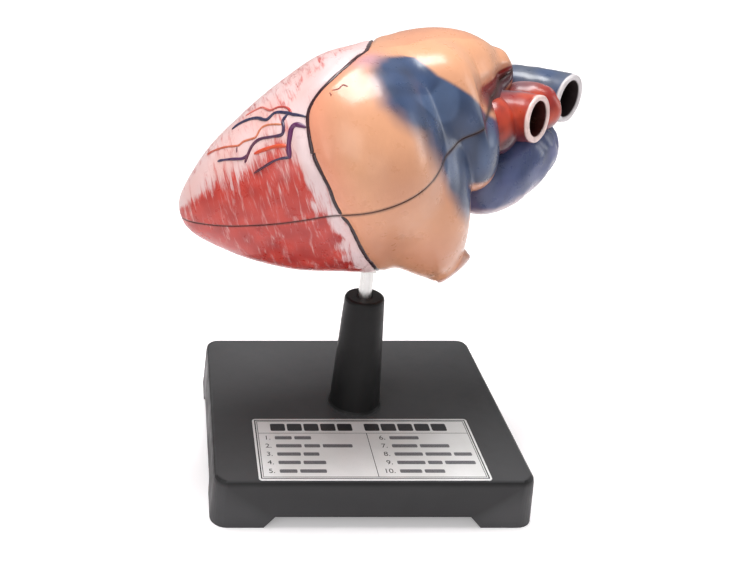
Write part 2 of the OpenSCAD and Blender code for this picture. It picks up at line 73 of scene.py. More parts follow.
AORTA_R, AORTA_ROOT, ARTERY_R, VESSEL_WALL = 11.0, 3.5, 11.5, 3.0
ROOT_RUN = 0.85  # share of a vessel's length over which its wider root narrows
CAVA_AT, CAVA_TO, CAVA_R = np.array([108, -9.5, -56]), np.array([113.2, -14.9, -65.4]), 10.0
CAVA_WAY = (CAVA_TO - CAVA_AT) / np.linalg.norm(CAVA_TO - CAVA_AT)
SLEEVE_R, SLEEVE_Z = 6.5, 106.0
SECTION_COUNT = 38  # sections along the heart in the part's source
HEART_TOP, TOP_BLEND = 206.5, 199.0  # heights between which the relief fades, to stay in the solids' box


def turn_matrix():
    a, b = radians(RISE), radians(LEAN)
    up = np.array([[cos(a), 0, -sin(a)], [0, 1, 0], [sin(a), 0, cos(a)]])
    back = np.array([[1, 0, 0], [0, cos(b), -sin(b)], [0, sin(b), cos(b)]])
    return up @ back


TURN = turn_matrix()


def world(p):
    """Points on the heart's axes, in the frame's axes."""
    return np.asarray(p, float) @ TURN.T + HEART_AT


def spline(table, s):
    """Point on a smooth line through the table's rows, s from 0 to 1."""
    table, s = np.asarray(table, float), np.asarray(s, float)
    n = len(table) - 1
    c = np.clip(s, 0, 1) * n
    i = np.minimum(np.floor(c).astype(int), n - 1)
    f = (c - i)[..., None]
    a, b, d, e = (table[np.clip(i + k, 0, n)] for k in (-1, 0, 1, 2))
    square, cube = 2 * a - 5 * b + 4 * d - e, 3 * b - a - 3 * d + e
    return 0.5 * (2 * b + (d - a) * f + square * f ** 2 + cube * f ** 3)


def polar(x, y, r, a):
    """Points at radius r and angle a, in radians, round the axis through (x, y)."""
    return np.stack([x, y + r * np.cos(a), r * np.sin(a)], -1)


def run_along(p):
    """Length of the line through points, from its start to each of them."""
    return np.r_[0, np.cumsum(np.linalg.norm(np.diff(p, axis=0), axis=1))]


def unit(v):
    return v / np.linalg.norm(v, axis=1)[:, None]


def skin_r(row, a):
    """Radius of the skin round a section's axis, at angle a in radians."""
    c, s = np.cos(a), np.sin(a)
    x, y = row[..., 0], row[..., 1]
    h = np.where(s >= 0, row[..., 3], row[..., 4])
    total = (1 / np.sqrt((c / np.maximum(row[..., 2], 1e-6)) ** 2 + (s / np.maximum(h, 1e-6)) ** 2)) ** 10
    for e in SWELLINGS:
        t = (x - e[0]) / e[3]
        q = np.sqrt(np.maximum(0, 1 - t * t))
        aside = e[1] + e[6] * (x - e[0]) - y
        reach = q * np.hypot(e[4] * c, e[5] * s) + np.sqrt(q) * (aside * c + e[2] * s)
        total = total + np.where(q > 0, np.maximum(0, reach), 0) ** 10
    e = ROOT_DENT
    u = np.minimum(1, np.abs(x - e[0]) / e[2])
    v = np.minimum(1, np.abs((np.degrees(a) - e[1] + 180) % 360 - 180) / e[3])
    return total ** 0.1 * (1 - e[4] * np.sqrt(np.maximum(0, np.cos(pi / 2 * u))) * np.cos(pi / 2 * v) ** 2)


S_FINE = np.linspace(0, 1, 6001)
ROW_FINE = spline(SECTIONS, S_FINE)


def row_at(x):
    return spline(SECTIONS, np.interp(x, ROW_FINE[:, 0], S_FINE))


def on_skin(x, a_deg, lift=0.0):
    """Points on the skin at distance x along the heart and angle a, 90 over and 180 towards the viewer."""
    x, a = np.asarray(x, float), np.radians(np.asarray(a_deg, float))
    row = row_at(x)
    return polar(x, row[..., 1], skin_r(row, a) + lift, a)


# ---- colours ----
def srgb(r, g, b):
    c = np.array([r, g, b], float) / 255
    return np.where(c <= 0.04045, c / 12.92, ((c + 0.055) / 1.055) ** 2.4)


# PEACH_LOW is a browner peach, used as painted shade on the lower atria
PEACH, PEACH_LOW = srgb(230, 168, 128), srgb(208, 144, 112)
RED, DEEP_RED, FAT = srgb(204, 66, 54), srgb(166, 40, 36), srgb(232, 206, 206)
UNDER = srgb(230, 184, 178)
BLUE, BLUE_DARK, BLUE_GREY = srgb(56, 76, 112), srgb(38, 52, 80), srgb(88, 94, 106)
MAROON, AORTA_RED, RIM_PINK = srgb(74, 22, 30), srgb(150, 38, 30), srgb(236, 208, 202)
INSIDE, MUSCLE = srgb(206, 120, 104), srgb(160, 42, 36)


def smooth(lo, hi, v):
    t = np.clip((v - lo) / (hi - lo), 0, 1)
    return t * t * (3 - 2 * t)


def mix(a, b, t):
    return a + (b - a) * np.asarray(t)[..., None]


def waves(p, size, seed):
    """Smooth random values about 0 at points p, with lumps of about that size."""
    g = np.random.default_rng(seed)
    v = 0
    for k in range(7):
        d = g.normal(size=3)
        d *= 2 * pi / (size * (0.7 + 0.6 * g.random()) * np.linalg.norm(d))
        v = v + np.sin(p @ d + g.random() * 2 * pi)
    return v / 3.2


# ---- what is painted on the heart, as (x, angle) points on its skin ----
GROOVE = [(98.2, 90), (92.7, 97), (87.7, 102.2), (83.3, 105.2), (79, 107.9), (73.7, 110.8), (69, 115),
          (65.8, 121), (64.1, 132), (63.6, 144), (64.6, 154), (65.9, 163), (66.5, 172), (67.7, 178.3),
          (70.1, 187.6), (72.1, 203.5), (74.1, 217.6), (76.2, 228), (79, 250), (81, 270), (84, 295),
          (88, 320), (94, 345), (99, 370), (103, 400), (104, 425), (98.2, 450)]
BLUE_LEFT = [(101.5, 103.5), (95.7, 112.7), (94.2, 119.4), (94.8, 126.6), (95, 135), (99.8, 145),
             (105.8, 155.5), (109.5, 168.9), (112.5, 179), (112.8, 183), (113.3, 186), (114.3, 195),
             (116.5, 205.7), (120.5, 217.4), (124, 230)]
BLUE_RIGHT = [(112, 102), (116.4, 106.8), (122.8, 128.2), (129.9, 142.5), (134.4, 151.5), (137.4, 160),
              (139.4, 168), (141.6, 179), (144.5, 186), (147, 194), (148, 230)]


def angle_table(points):
    p = np.array(points, float)
    return p[:, 1], p[:, 0]


def groove_x(a_deg):
    a, x = angle_table(GROOVE)
    return np.interp(90 + np.mod(np.asarray(a_deg) - 90, 360), a, x)


def line_points(points, step=0.5, lift=0.0):
    """Close points on the skin along a smooth line through (x, angle) points."""
    p = np.asarray(points, float)
    fine = spline(p, np.linspace(0, 1, 40 * len(p)))
    q = on_skin(fine[:, 0], fine[:, 1], lift)
    run = run_along(q)
    s = np.linspace(0, run[-1], max(4, int(run[-1] / step)))
    x, a = np.interp(s, run, fine[:, 0]), np.interp(s, run, fine[:, 1])
    return on_skin(x, a, lift), x, a


def distance_to(p, line, reach):
    """Distance from each point to a dense line of points, up to reach."""
    out = np.full(len(p), float(reach))
    lo, hi = line.min(0) - reach, line.max(0) + reach
    near = np.flatnonzero(((p > lo) & (p < hi)).all(1))
    for k in range(0, len(near), 4000):
        i = near[k:k + 4000]
        d = np.sqrt(((p[i][:, None, :] - line[None]) ** 2).sum(-1).min(1))
        out[i] = np.minimum(d, reach)
    return out


GROOVE_LINE = line_points(GROOVE, 0.8)[0]


def relief_and_paint(x, a_deg, p):
    """How far the skin is raised at p, and its paint, the colour under the strokes and the strokes' cover."""
    a = 90 + np.mod(a_deg - 90, 360)
    side = x - groove_x(a)
    groove = distance_to(p, GROOVE_LINE, 14.0)
    ventricle = smooth(0.4, -0.4, side)
    raised = -0.85 * np.exp(-(groove / 1.1) ** 2) + 0.35 * np.exp(-((groove - 4.2) / 2.4) ** 2)
    raised = raised + 0.16 * waves(p, 26, 3) * smooth(6, 14, groove)
    raised = np.minimum(raised, 3.0 * smooth(HEART_TOP, TOP_BLEND, world(p)[:, 2]) - 0.08)
    # collar where the lower hollow vein leaves the atrium
    rel = p - CAVA_AT
    along = rel @ CAVA_WAY
    off = np.linalg.norm(rel - along[:, None] * CAVA_WAY, axis=1)
    raised = raised + np.where(along > -25, 2.6 * np.exp(-np.maximum(off - CAVA_R, 0) / 2.6), 0)

    # ventricles: red strokes over a pale ground, paler above, near the groove and at the apex
    low = smooth(118, 150, a)
    pale = 0.5 + 0.5 * waves(p, 22, 5)
    fat = smooth(11 + 3 * waves(p, 12, 8), 3.5, groove) * np.where(a > 300, 0.45, 1)
    cover = 0.24 + 0.58 * low + 0.1 * waves(p, 24, 9)
    cover = np.where(a > 182, 0.86 - 0.6 * smooth(385, 425, a), cover)
    cover = cover * (1 - 0.8 * smooth(26, 12, x) * smooth(150, 120, a))
    cover = np.clip(cover - 0.75 * fat, 0.03, 0.95)
    red = mix(RED, DEEP_RED, np.clip(0.25 + 0.35 * waves(p, 9, 11) + 0.25 * (a > 182), 0, 0.9))
    ground = mix(UNDER, FAT, np.clip(0.75 * pale + 0.6 * fat, 0, 1))
    # atria: peach, with painted shade as a browner peach below
    peach = mix(PEACH, PEACH_LOW, np.clip(0.25 + 0.3 * waves(p, 40, 13) + 0.5 * smooth(150, 230, a), 0, 1))
    rosy = smooth(15, 0, side) * smooth(215, 150, a)
    peach = mix(peach, srgb(240, 150, 122), 0.6 * rosy)
    lilac = np.exp(-((x - 97) / 8) ** 2 - ((a - 104) / 7) ** 2)
    peach = mix(peach, srgb(196, 150, 168), 0.75 * np.clip(lilac, 0, 1))
    # blue airbrushed band over the outflow, and the block under it
    la, lx = angle_table(BLUE_LEFT)
    ra, rx = angle_table(BLUE_RIGHT)
    left, right = np.interp(a, la, lx), np.interp(a, ra, rx)
    soft = np.where(a < 178, 5.0, 3.0) * (1 + 0.2 * waves(p, 8, 15))
    blue = smooth(left - soft, left + 1.2 * soft, x) * smooth(right + 1.0, right - 1.0, x)
    blue = blue * smooth(99, 105, a) * smooth(226, 219, a)
    tone = mix(BLUE, BLUE_DARK, np.clip(0.3 + 0.4 * waves(p, 14, 17), 0, 0.85))
    tone = mix(tone, srgb(92, 114, 150), 0.5 * smooth(0.55, 0.9, blue) * smooth(0.2, 0.8, waves(p, 20, 19)))
    atria = mix(peach, tone, np.clip(blue, 0, 1))
    # skin round the aorta's root painted red, turning dark purple-brown lower down as painted shade
    root = smooth(right, right + 3, x) * smooth(138, 146, x) * smooth(146, 153, a) * smooth(212, 200, a)
    atria = mix(atria, mix(AORTA_RED, srgb(70, 26, 40), smooth(160, 192, a)), root)
    paint = mix(atria, red, ventricle)
    under = mix(atria, ground, ventricle)
    cover = np.where(ventricle > 0.5, cover, 1.0)
    # painted shade in the seam, darkening paint and ground along it
    seam = np.exp(-(p[:, 2] / np.where(x > 108, 0.95, 0.6)) ** 2)
    seam_shade = np.where(ventricle > 0.5, 0.7, 0.92) * seam
    paint, under = mix(paint, srgb(52, 26, 22), seam_shade), mix(under, srgb(70, 30, 26), seam_shade)
    return raised, paint, under, cover


# ---- meshes ----
def placed(name, data):
    """A new object with this data, in the scene."""
    ob = bpy.data.objects.new(name, data)
    bpy.context.scene.collection.objects.link(ob)
    return ob


def evaluated_mesh(ob):
    """The mesh that an object has after its modifiers or its curves are worked out."""
    bpy.context.view_layer.update()
    return bpy.data.meshes.new_from_object(ob.evaluated_get(bpy.context.evaluated_depsgraph_get()))


def grid_faces(idx, flip=False):
    """Four-sided faces of a grid of point numbers, turned over if asked."""
    corners = [idx[:-1, :-1], idx[1:, :-1], idx[1:, 1:], idx[:-1, 1:]]
    if flip:
        corners[1], corners[3] = corners[3], corners[1]
    return np.stack(corners, -1).reshape(-1, 4).tolist()


def ring_numbers(n, m):
    """Point numbers of n rings of m points, each ending on its own first point."""
    idx = np.arange(n * m).reshape(n, m)
    return np.c_[idx, idx[:, :1]]


def capped_rings(n, m):
    """Faces of n rings of m points each, with a cap at both ends."""
    idx = ring_numbers(n, m)
    return grid_faces(idx) + [tuple(idx[0, :-1].tolist()), tuple(idx[-1, :-1][::-1].tolist())]


def fan(tip, run, back=False):
    """Triangles from a tip to each step of a run of point numbers."""
    return [(tip, b, a) if back else (tip, a, b) for a, b in zip(run[:-1], run[1:])]


def make_mesh(name, verts_mm, faces, body, material, paint=None, under=None, cover=None,
              flow=None, sharp=40.0):
    """A piece from points in millimetres on the frame's axes, with its paint kept on its points."""
    me = bpy.data.meshes.new(name)
    me.from_pydata((np.asarray(verts_mm) * MM).tolist(), [], faces)
    n = len(me.vertices)

    def keep(key, kind, values, width):
        at = me.attributes.new(key, kind, "POINT")
        field = {1: "value", 3: "vector", 4: "color"}[width]
        at.data.foreach_set(field, np.asarray(values, np.float32).reshape(-1))

    if paint is not None:
        for key, value in (("paint", paint), ("under", under if under is not None else paint)):
            rgb = np.ones((n, 4), np.float32)
            rgb[:, :3] = value
            keep(key, "FLOAT_COLOR", rgb, 4)
        keep("cover", "FLOAT", np.ones(n) if cover is None else cover, 1)
        keep("flow", "FLOAT_VECTOR", np.asarray(verts_mm) / 10 if flow is None else flow, 3)
    bm = bmesh.new()
    bm.from_mesh(me)
    bmesh.ops.recalc_face_normals(bm, faces=bm.faces)
    bm.to_mesh(me)
    bm.free()
    me.shade_smooth()
    me.set_sharp_from_angle(angle=radians(sharp))
    ob = placed(name, me)
    me.materials.append(material)
    if body:
        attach(ob, body)
    return ob


def cutter(points, faces):
    """A solid from points in millimetres on the frame's axes, to cut with."""
    return make_mesh("tool", points, faces, None, PLAIN)


def cut(ob, tools):
    """Cuts the tools out of a piece and keeps the result as its mesh."""
    for tool in tools:
        m = ob.modifiers.new("cut", "BOOLEAN")
        m.operation, m.solver, m.object = "DIFFERENCE", "MANIFOLD", tool
    done = evaluated_mesh(ob)
    ob.modifiers.clear()
    old = ob.data
    ob.data = done
    bpy.data.meshes.remove(old)
    for tool in tools:
        bpy.data.objects.remove(tool)


def bridge(a, ta, b, tb):
    """Triangles between two runs of points, each with a rising measure."""
    faces, i, j = [], 0, 0
    while i < len(a) - 1 or j < len(b) - 1:
        if j == len(b) - 1 or (i < len(a) - 1 and ta[i + 1] <= tb[j + 1]):
            faces.append((a[i], a[i + 1], b[j]))
            i += 1
        else:
            faces.append((a[i], b[j + 1], b[j]))
            j += 1
    return faces


def even_stations(step):
    """Section numbers s at even steps along the outline."""
    prof = np.stack([ROW_FINE[:, 0], skin_r(ROW_FINE, np.full(len(ROW_FINE), pi / 2)),
                     skin_r(ROW_FINE, np.full(len(ROW_FINE), pi))], -1)
    run = run_along(prof)
    return np.interp(np.linspace(0, run[-1], int(run[-1] / step))[1:-1], run, S_FINE)


def inner_grid(rows, a, depth):
    """Points at a depth under the skin, a row of them for each section and a column for each angle."""
    grid = np.repeat(rows[:, None], len(a), 1)
    r = skin_r(grid, np.broadcast_to(a, grid.shape[:2]))
    r = r - depth * np.minimum(1, r / (2 * depth + 0.01))
    return polar(grid[..., 0] * (HEART_L - 2 * depth) / HEART_L + depth, grid[..., 1], r, a)


SKIN_STEP, INNER_STEP, SKIN_GIRTH, INNER_SIDES = 0.8, 2.4, 150, 64
LIP_SHADE = (0.85, 0.8, 0.6)  # how much darker the paint is on the three points round a lip


def half_skin(name, over, body, node):
    """Outer skin with its relief, inner skin and lip of one moulded half."""
    a0, sign = (0.0, 1.0) if over else (180.0, -1.0)
    s = even_stations(SKIN_STEP)
    rows = spline(SECTIONS, s)
    m = int(SKIN_GIRTH / SKIN_STEP)
    r0, r1 = skin_r(rows, np.full(len(s), radians(a0))), skin_r(rows, np.full(len(s), radians(a0 + 180)))
    lip0, lip1 = np.minimum(LIP, 0.3 * r0), np.minimum(LIP, 0.3 * r1)
    b0, b1 = np.degrees(np.arcsin(lip0 / r0)), np.degrees(np.arcsin(lip1 / r1))
    t = np.linspace(0, 1, m)
    ang = a0 + b0[:, None] + t[None] * (180 - b0 - b1)[:, None]
    x, y = (np.repeat(rows[:, None, i], m, 1) for i in (0, 1))
    base = skin_r(np.repeat(rows[:, None], m, 1), np.radians(ang))
    p = polar(x, y, base, np.radians(ang))
    raised, paint, under, cover = relief_and_paint(x.ravel(), ang.ravel(), p.reshape(-1, 3))
    lift = (raised.reshape(base.shape) - SHRINK) * np.minimum(1, base / 6)
    free = smooth(0.0, 2.5, np.abs(p[..., 2]))
    lift = lift * free - SHRINK * (1 - free)
    grid = polar(x, y, base + lift, np.radians(ang))
    # lip: three more points at each edge, round a small quarter turn
    quarter = np.radians([0, 30, 60])

    def edge(rr, lip, direction):
        out = []
        for q in quarter:
            rad = rr - SHRINK - lip * (1 - sin(q))
            out.append(np.stack([rows[:, 0], rows[:, 1] + direction * rad, sign * lip * (1 - cos(q))], -1))
        return np.stack(out, 1)

    d0 = 1.0 if over else -1.0
    e0, e1 = edge(r0, lip0, d0), edge(r1, lip1, -d0)[:, ::-1]
    full = np.concatenate([e0, grid, e1], 1)
    n, w = full.shape[:2]

    def spread(v):
        v = v.reshape(n, m, -1)
        return np.concatenate([np.repeat(v[:, :1], 3, 1), v, np.repeat(v[:, -1:], 3, 1)], 1)

    # painted shade: the lip round the seam and the two end points on it are darkened towards this colour
    dark = srgb(60, 28, 24)
    paint, under, cover = spread(paint), spread(under), spread(cover)[..., 0]
    for i, share in enumerate(LIP_SHADE):
        for j in (i, -i - 1):
            paint[:, j] += (dark - paint[:, j]) * share
            under[:, j] += (dark - under[:, j]) * share
    arc = np.concatenate([np.zeros((n, 1)), np.cumsum(np.linalg.norm(np.diff(full, axis=1), axis=2), 1)], 1)
    flow = np.stack([full[..., 0], arc, np.full(arc.shape, 50.0 * over)], -1) / 10
    idx, tip_at = np.arange(n * w).reshape(n, w), n * w
    faces = grid_faces(idx) + fan(tip_at, idx[0], True) + fan(tip_at + 1, idx[-1])

    # inner skin, coarser
    s2 = even_stations(INNER_STEP)
    s2 = s2[(s2 > 0.02) & (s2 < 0.985)]
    inner = inner_grid(spline(SECTIONS, s2), np.radians(a0 + np.linspace(0, 180, INNER_SIDES)), WALL)
    inner[:, 0, 2] = inner[:, -1, 2] = 0
    count = len(s2) * INNER_SIDES
    id2, tip2 = tip_at + 2 + np.arange(count).reshape(len(s2), INNER_SIDES), tip_at + 2 + count
    faces += grid_faces(id2, True) + fan(tip2, id2[0]) + fan(tip2 + 1, id2[-1], True)
    for j in (0, -1):
        a_run = [tip_at] + idx[:, j].tolist() + [tip_at + 1]
        b_run = [tip2] + id2[:, j].tolist() + [tip2 + 1]
        faces += bridge(a_run, np.r_[-1, rows[:, 0], 200], b_run, np.r_[-1, inner[:, 0, 0], 200])
    k2 = count + 2
    lumps = waves(np.concatenate([inner.reshape(-1, 3), np.zeros((2, 3))]), 16, 21)
    inside = mix(INSIDE, srgb(178, 84, 72), np.clip(0.5 + 0.5 * lumps, 0, 1))
    paint = np.concatenate([paint.reshape(-1, 3), np.repeat(dark[None], 2, 0), inside])
    under = np.concatenate([under.reshape(-1, 3), np.repeat(dark[None], 2, 0), inside * 0.92])
    cover = np.concatenate([cover.ravel(), [1, 1], np.full(k2, 0.7)])
    y0, y1 = SECTIONS[0, 1], SECTIONS[-1, 1]
    pts = np.concatenate([full.reshape(-1, 3), [[0, y0, 0], [HEART_L, y1, 0]],
                          inner.reshape(-1, 3), [[WALL, y0, 0], [HEART_L - WALL, y1, 0]]])
    flow = np.concatenate([flow.reshape(-1, 3), np.zeros((2, 3)), pts[-k2:] / 10])
    ob = make_mesh(name, world(pts), faces, body, SKIN_PAINT, paint, under, cover, flow, 50)
    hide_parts(node)
    return ob


def ring_frames(path):
    """Centre, and two directions across, for each point of a path."""
    t = unit(np.gradient(path, axis=0))
    up = np.array([0, 0, 1.0]) if abs(t[0][2]) < 0.9 else np.array([1.0, 0, 0])
    u = unit(np.cross(t, up))
    return t, u, np.cross(u, t)


def round_rings(centres, u, v, radius, sides):
    """A ring of points round each centre, in the plane of its directions u and v."""
    th = np.linspace(0, 2 * pi, sides, endpoint=False)[None, :, None]
    return centres[:, None] + radius[..., None] * (np.cos(th) * u[:, None] + np.sin(th) * v[:, None])


def vessel_piece(name, p, faces, col, sharp, lump=6, seed=35, least=0.4):
    """A painted piece of the vessels, with thin places in its paint of about a lump's size."""
    return make_mesh(name, world(p), faces, "heart", SKIN_PAINT, col, col * 0.85,
                     np.clip(0.85 + 0.2 * waves(p, lump, seed), least, 1), None, sharp)


TUBE_STEP, WOBBLE = 0.8, 0.12
OUTER, RIM, BORE = 0, 1, 2
RIM_TURN = [(a, True) for a in (0, 25, 50, 75, 90)] + [(a, False) for a in (90, 65, 35, 0)]


def tube(name, path, r, wall, outer, inner, rim, blind=0.0, root=0.0, sides=96, node=None):
    """Vessel stub with a rolled rim: its skin, the rim's band and its bore each have their own paint, and the
    bore has painted shade darkening it inwards.
    """
    share = np.linspace(0, 1, 400)
    fine = spline(path, share)
    run = run_along(fine)
    length = run[-1]
    k = max(6, int(length / TUBE_STEP))
    at = np.linspace(0, length, k)
    c = np.stack([np.interp(at, run, fine[:, i]) for i in range(3)], -1)
    t, u, v = ring_frames(c)
    roll = min(1.0, wall / 3)
    grow = root * np.maximum(0, 1 - np.interp(at, run, share) / ROOT_RUN)
    even = round_rings(c, u, v, np.full((k, sides), r), sides).reshape(-1, 3)
    noise = WOBBLE * waves(even, 9, 31).reshape(k, sides)
    keep = at < length - roll
    ro = (r - 0.1 - WOBBLE + grow)[:, None] + noise
    parts, marks = [round_rings(c[keep], u[keep], v[keep], ro[keep], sides)], [OUTER] * keep.sum()
    for ang, big in RIM_TURN:
        off = roll * (1 - cos(radians(ang)))
        radius = ro[-1] - off if big else np.full(sides, r - wall + grow[-1] + off)
        centre = c[-1] - t[-1] * (roll * (1 - sin(radians(ang))) + 0.02)
        parts.append(round_rings(centre[None], u[-1:], v[-1:], radius[None], sides))
        marks.append(RIM if ang > 20 or big else BORE)
    keep = (at < length - roll - 0.5) & (at >= blind)
    radius = r - wall + (0.6 * noise[keep] + grow[keep][:, None])
    parts.append(round_rings(c[keep], u[keep], v[keep], radius, sides)[::-1])
    marks = np.repeat(np.array(marks + [BORE] * keep.sum()), sides)
    full = np.concatenate(parts)
    if blind > 0:
        faces = capped_rings(len(full), sides)
    else:
        idx = ring_numbers(len(full), sides)
        faces = grid_faces(idx) + grid_faces(idx[[0, -1]], True)
    pts = full.reshape(-1, 3)
    behind = (c[-1] - pts) @ t[-1]
    out_c = outer(pts) if callable(outer) else np.repeat(outer[None], len(pts), 0)
    near_rim = smooth(1.5, 0.7, behind + 0.3 * waves(pts, 7, 37)) * (marks == OUTER)
    col = mix(out_c, rim, 0.8 * near_rim)
    col[marks == RIM] = rim
    # painted shade: the bore darkens further in
    deep = smooth(0.3, 9, behind)
    col[marks == BORE] = mix(np.repeat(inner[None], len(pts), 0), inner * 0.25, deep)[marks == BORE]
    col = col * (1 + 0.07 * waves(pts, 5, 33))[:, None]
    ob = vessel_piece(name, pts, faces, col, 50)
    if node:
        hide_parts(node)
    return ob


def core_solid(depth, x_from):
    """The inside of the back half as a solid, to trim what is bonded on outside."""
    every = 60  # one in so many of the fine stations, and as many points round the half
    s = S_FINE[(ROW_FINE[:, 0] > x_from)][::every]
    p = inner_grid(spline(SECTIONS, s), np.radians(np.linspace(180, 360, every)), depth)
    return cutter(world(p.reshape(-1, 3)), capped_rings(len(s), every))


def rod_solid(p, q, r, sides=64):
    """Round bar from p to q on the frame's axes, to cut with."""
    p, q = np.asarray(p, float), np.asarray(q, float)
    t, u, v = ring_frames(np.stack([p, q]))
    th = np.linspace(0, 2 * pi, sides, endpoint=False)
    ring = r * (np.cos(th)[:, None] * u[0] + np.sin(th)[:, None] * v[0])
    pts = np.concatenate([p + ring, q + ring])
    faces = [(i, (i + 1) % sides, sides + (i + 1) % sides, sides + i) for i in range(sides)]
    faces += [tuple(range(sides))[::-1], tuple(range(sides, 2 * sides))]
    return cutter(pts, faces)


def stroke(name, points, width, height, colour, colour_end, body, tip=0.35, lift=0.0):
    """Raised painted line on the skin, with a rounded section and tapered ends."""
    c, x, a = line_points(points, 0.45)
    c2 = on_skin(x, a + 0.5)
    t = unit(np.gradient(c, axis=0))
    n = unit(np.cross(t, c2 - c))
    axis = np.stack([x, row_at(x)[:, 1], np.zeros(len(x))], -1)
    n *= np.sign(((c - axis) * n).sum(1))[:, None]
    b = np.cross(n, t)
    k = len(c)
    along = np.linspace(0, 1, k)
    run = np.linalg.norm(np.diff(c, axis=0), axis=1).sum()
    taper = np.minimum(1, np.minimum(along, 1 - along) * run / (1.6 * width))
    taper = tip + (1 - tip) * np.sqrt(np.clip(taper, 0, 1))
    w = width / 2 * taper * (1 + 0.12 * waves(c, 5, 41))
    h = height * taper
    th = np.linspace(0, pi, 9)
    top = [b * (w * cos(q))[:, None] + n * (h * sin(q) - 0.12 + lift)[:, None] for q in th]
    low = [b * (w * 0.8 * e)[:, None] - n * 0.6 for e in (-1, 1)]
    full = np.stack([c + o for o in top + low], 1)
    m = full.shape[1]
    col = mix(np.repeat(colour[None], k, 0), colour_end, along)
    col = np.repeat(col[:, None], m, 1).reshape(-1, 3)
    pts = full.reshape(-1, 3)
    make_mesh(name, world(pts), capped_rings(k, m), body, LINE_PAINT, col, col * 1.25,
              np.clip(0.8 + 0.25 * waves(pts, 4, 43), 0.3, 1), None, 50)


# ---- materials ----
class Paint:
    """A node material with a few short ways to add to it."""

    def __init__(self, name, rough=0.5, metal=0.0, colour=(0.5, 0.5, 0.5)):
        self.mat = bpy.data.materials.new(name)
        self.mat.use_nodes = True
        self.tree = self.mat.node_tree
        self.shader = self.tree.nodes["Principled BSDF"]
        self.shader.inputs["Roughness"].default_value = rough
        self.shader.inputs["Metallic"].default_value = metal
        self.shader.inputs["Base Color"].default_value = (*colour, 1)
        self.object_at = self.tree.nodes.new("ShaderNodeTexCoord").outputs["Object"]

    def node(self, kind, **settings):
        made = self.tree.nodes.new(kind)
        for key, value in settings.items():
            setattr(made, key, value)
        return made

    def link(self, a, b):
        self.tree.links.new(a, b)

    def scaled(self, source, scale):
        made = self.node("ShaderNodeMapping")
        self.link(source, made.inputs["Vector"])
        made.inputs["Scale"].default_value = scale
        return made.outputs["Vector"]

    def noise(self, source, scale, detail=3.0, rough=0.55, warp=0.0):
        made = self.node("ShaderNodeTexNoise")
        self.link(source, made.inputs["Vector"])
        for key, value in (("Scale", scale), ("Detail", detail), ("Roughness", rough), ("Distortion", warp)):
            made.inputs[key].default_value = value
        return made.outputs["Fac"]

    def ramp(self, fac, lo, hi, a=0.0, b=1.0):
        made = self.node("ShaderNodeMapRange", interpolation_type="SMOOTHSTEP")
        self.link(fac, made.inputs["Value"])
        for key, value in (("From Min", lo), ("From Max", hi), ("To Min", a), ("To Max", b)):
            made.inputs[key].default_value = value
        return made.outputs["Result"]

    def maths(self, kind, a, b):
        made = self.node("ShaderNodeMath", operation=kind)
        for k, value in enumerate((a, b)):
            if isinstance(value, (int, float)):
                made.inputs[k].default_value = value
            else:
                self.link(value, made.inputs[k])
        return made.outputs[0]

    def blend(self, fac, a, b, kind="MIX"):
        made = self.node("ShaderNodeMix", data_type="RGBA", blend_type=kind)
        for key, value in ((0, fac), (6, a), (7, b)):
            if isinstance(value, (int, float)):
                made.inputs[key].default_value = value
            elif isinstance(value, (tuple, np.ndarray)):
                made.inputs[key].default_value = (*tuple(value)[:3], 1)
            else:
                self.link(value, made.inputs[key])
        return made.outputs[2]

    def attribute(self, name):
        return self.node("ShaderNodeAttribute", attribute_name=name)

    def shaded(self, base, shade):
        return self.blend(1.0, base, shade, "MULTIPLY")

    def coat(self, weight, rough):
        self.shader.inputs["Coat Weight"].default_value = weight
        self.shader.inputs["Coat Roughness"].default_value = rough

    def colour(self, source):
        self.link(source, self.shader.inputs["Base Color"])

    def roughness(self, source):
        self.link(source, self.shader.inputs["Roughness"])

    def bump(self, height, strength, depth_mm, before=None):
        made = self.node("ShaderNodeBump")
        made.inputs["Strength"].default_value = strength
        made.inputs["Distance"].default_value = depth_mm * MM
        self.link(height, made.inputs["Height"])
        if before is not None:
            self.link(before, made.inputs["Normal"])
        self.link(made.outputs["Normal"], self.shader.inputs["Normal"])
        return made.outputs["Normal"]


def hand_paint(name="hand_paint", rough=0.3, stroke_bump=0.5):
    """Brushed and airbrushed paint under satin varnish, from the colours kept on the points."""
    p = Paint(name, rough)
    flow = p.attribute("flow").outputs["Vector"]
    strokes = p.noise(p.scaled(flow, (5.2, 0.75, 1.0)), 1.0, 4.0, 0.62, 0.6)
    hairs = p.noise(p.scaled(flow, (26.0, 1.6, 1.0)), 1.0, 3.0, 0.6, 0.2)
    both = p.maths("ADD", p.maths("MULTIPLY", strokes, 0.68), p.maths("MULTIPLY", hairs, 0.32))
    cover = p.attribute("cover").outputs["Fac"]
    edge = p.maths("SUBTRACT", 0.69, p.maths("MULTIPLY", cover, 0.38))
    fac = p.ramp(p.maths("SUBTRACT", both, edge), -0.13, 0.12)
    fac = p.maths("MAXIMUM", fac, p.ramp(cover, 0.97, 1.0))
    colour = p.blend(fac, p.attribute("under").outputs["Color"], p.attribute("paint").outputs["Color"])
    cloud = p.noise(p.object_at, 95.0, 3.0, 0.6)
    colour = p.blend(p.ramp(cloud, 0.3, 0.7, 0.0, 0.16), colour, p.shaded(colour, (0.72, 0.62, 0.6)))
    speck = p.noise(p.object_at, 900.0, 2.0, 0.7)
    colour = p.blend(p.ramp(speck, 0.7, 0.8, 0.0, 0.14), colour, p.shaded(colour, (0.6, 0.5, 0.5)))
    p.colour(colour)
    p.roughness(p.ramp(p.noise(p.object_at, 160.0, 4.0, 0.6), 0.25, 0.75, rough - 0.06, rough + 0.12))
    first = p.bump(p.noise(p.object_at, 420.0, 2.0, 0.5), 0.10, 0.25)
    p.bump(both, stroke_bump, 0.16, first)
    p.coat(0.35, 0.17)
    return p.mat


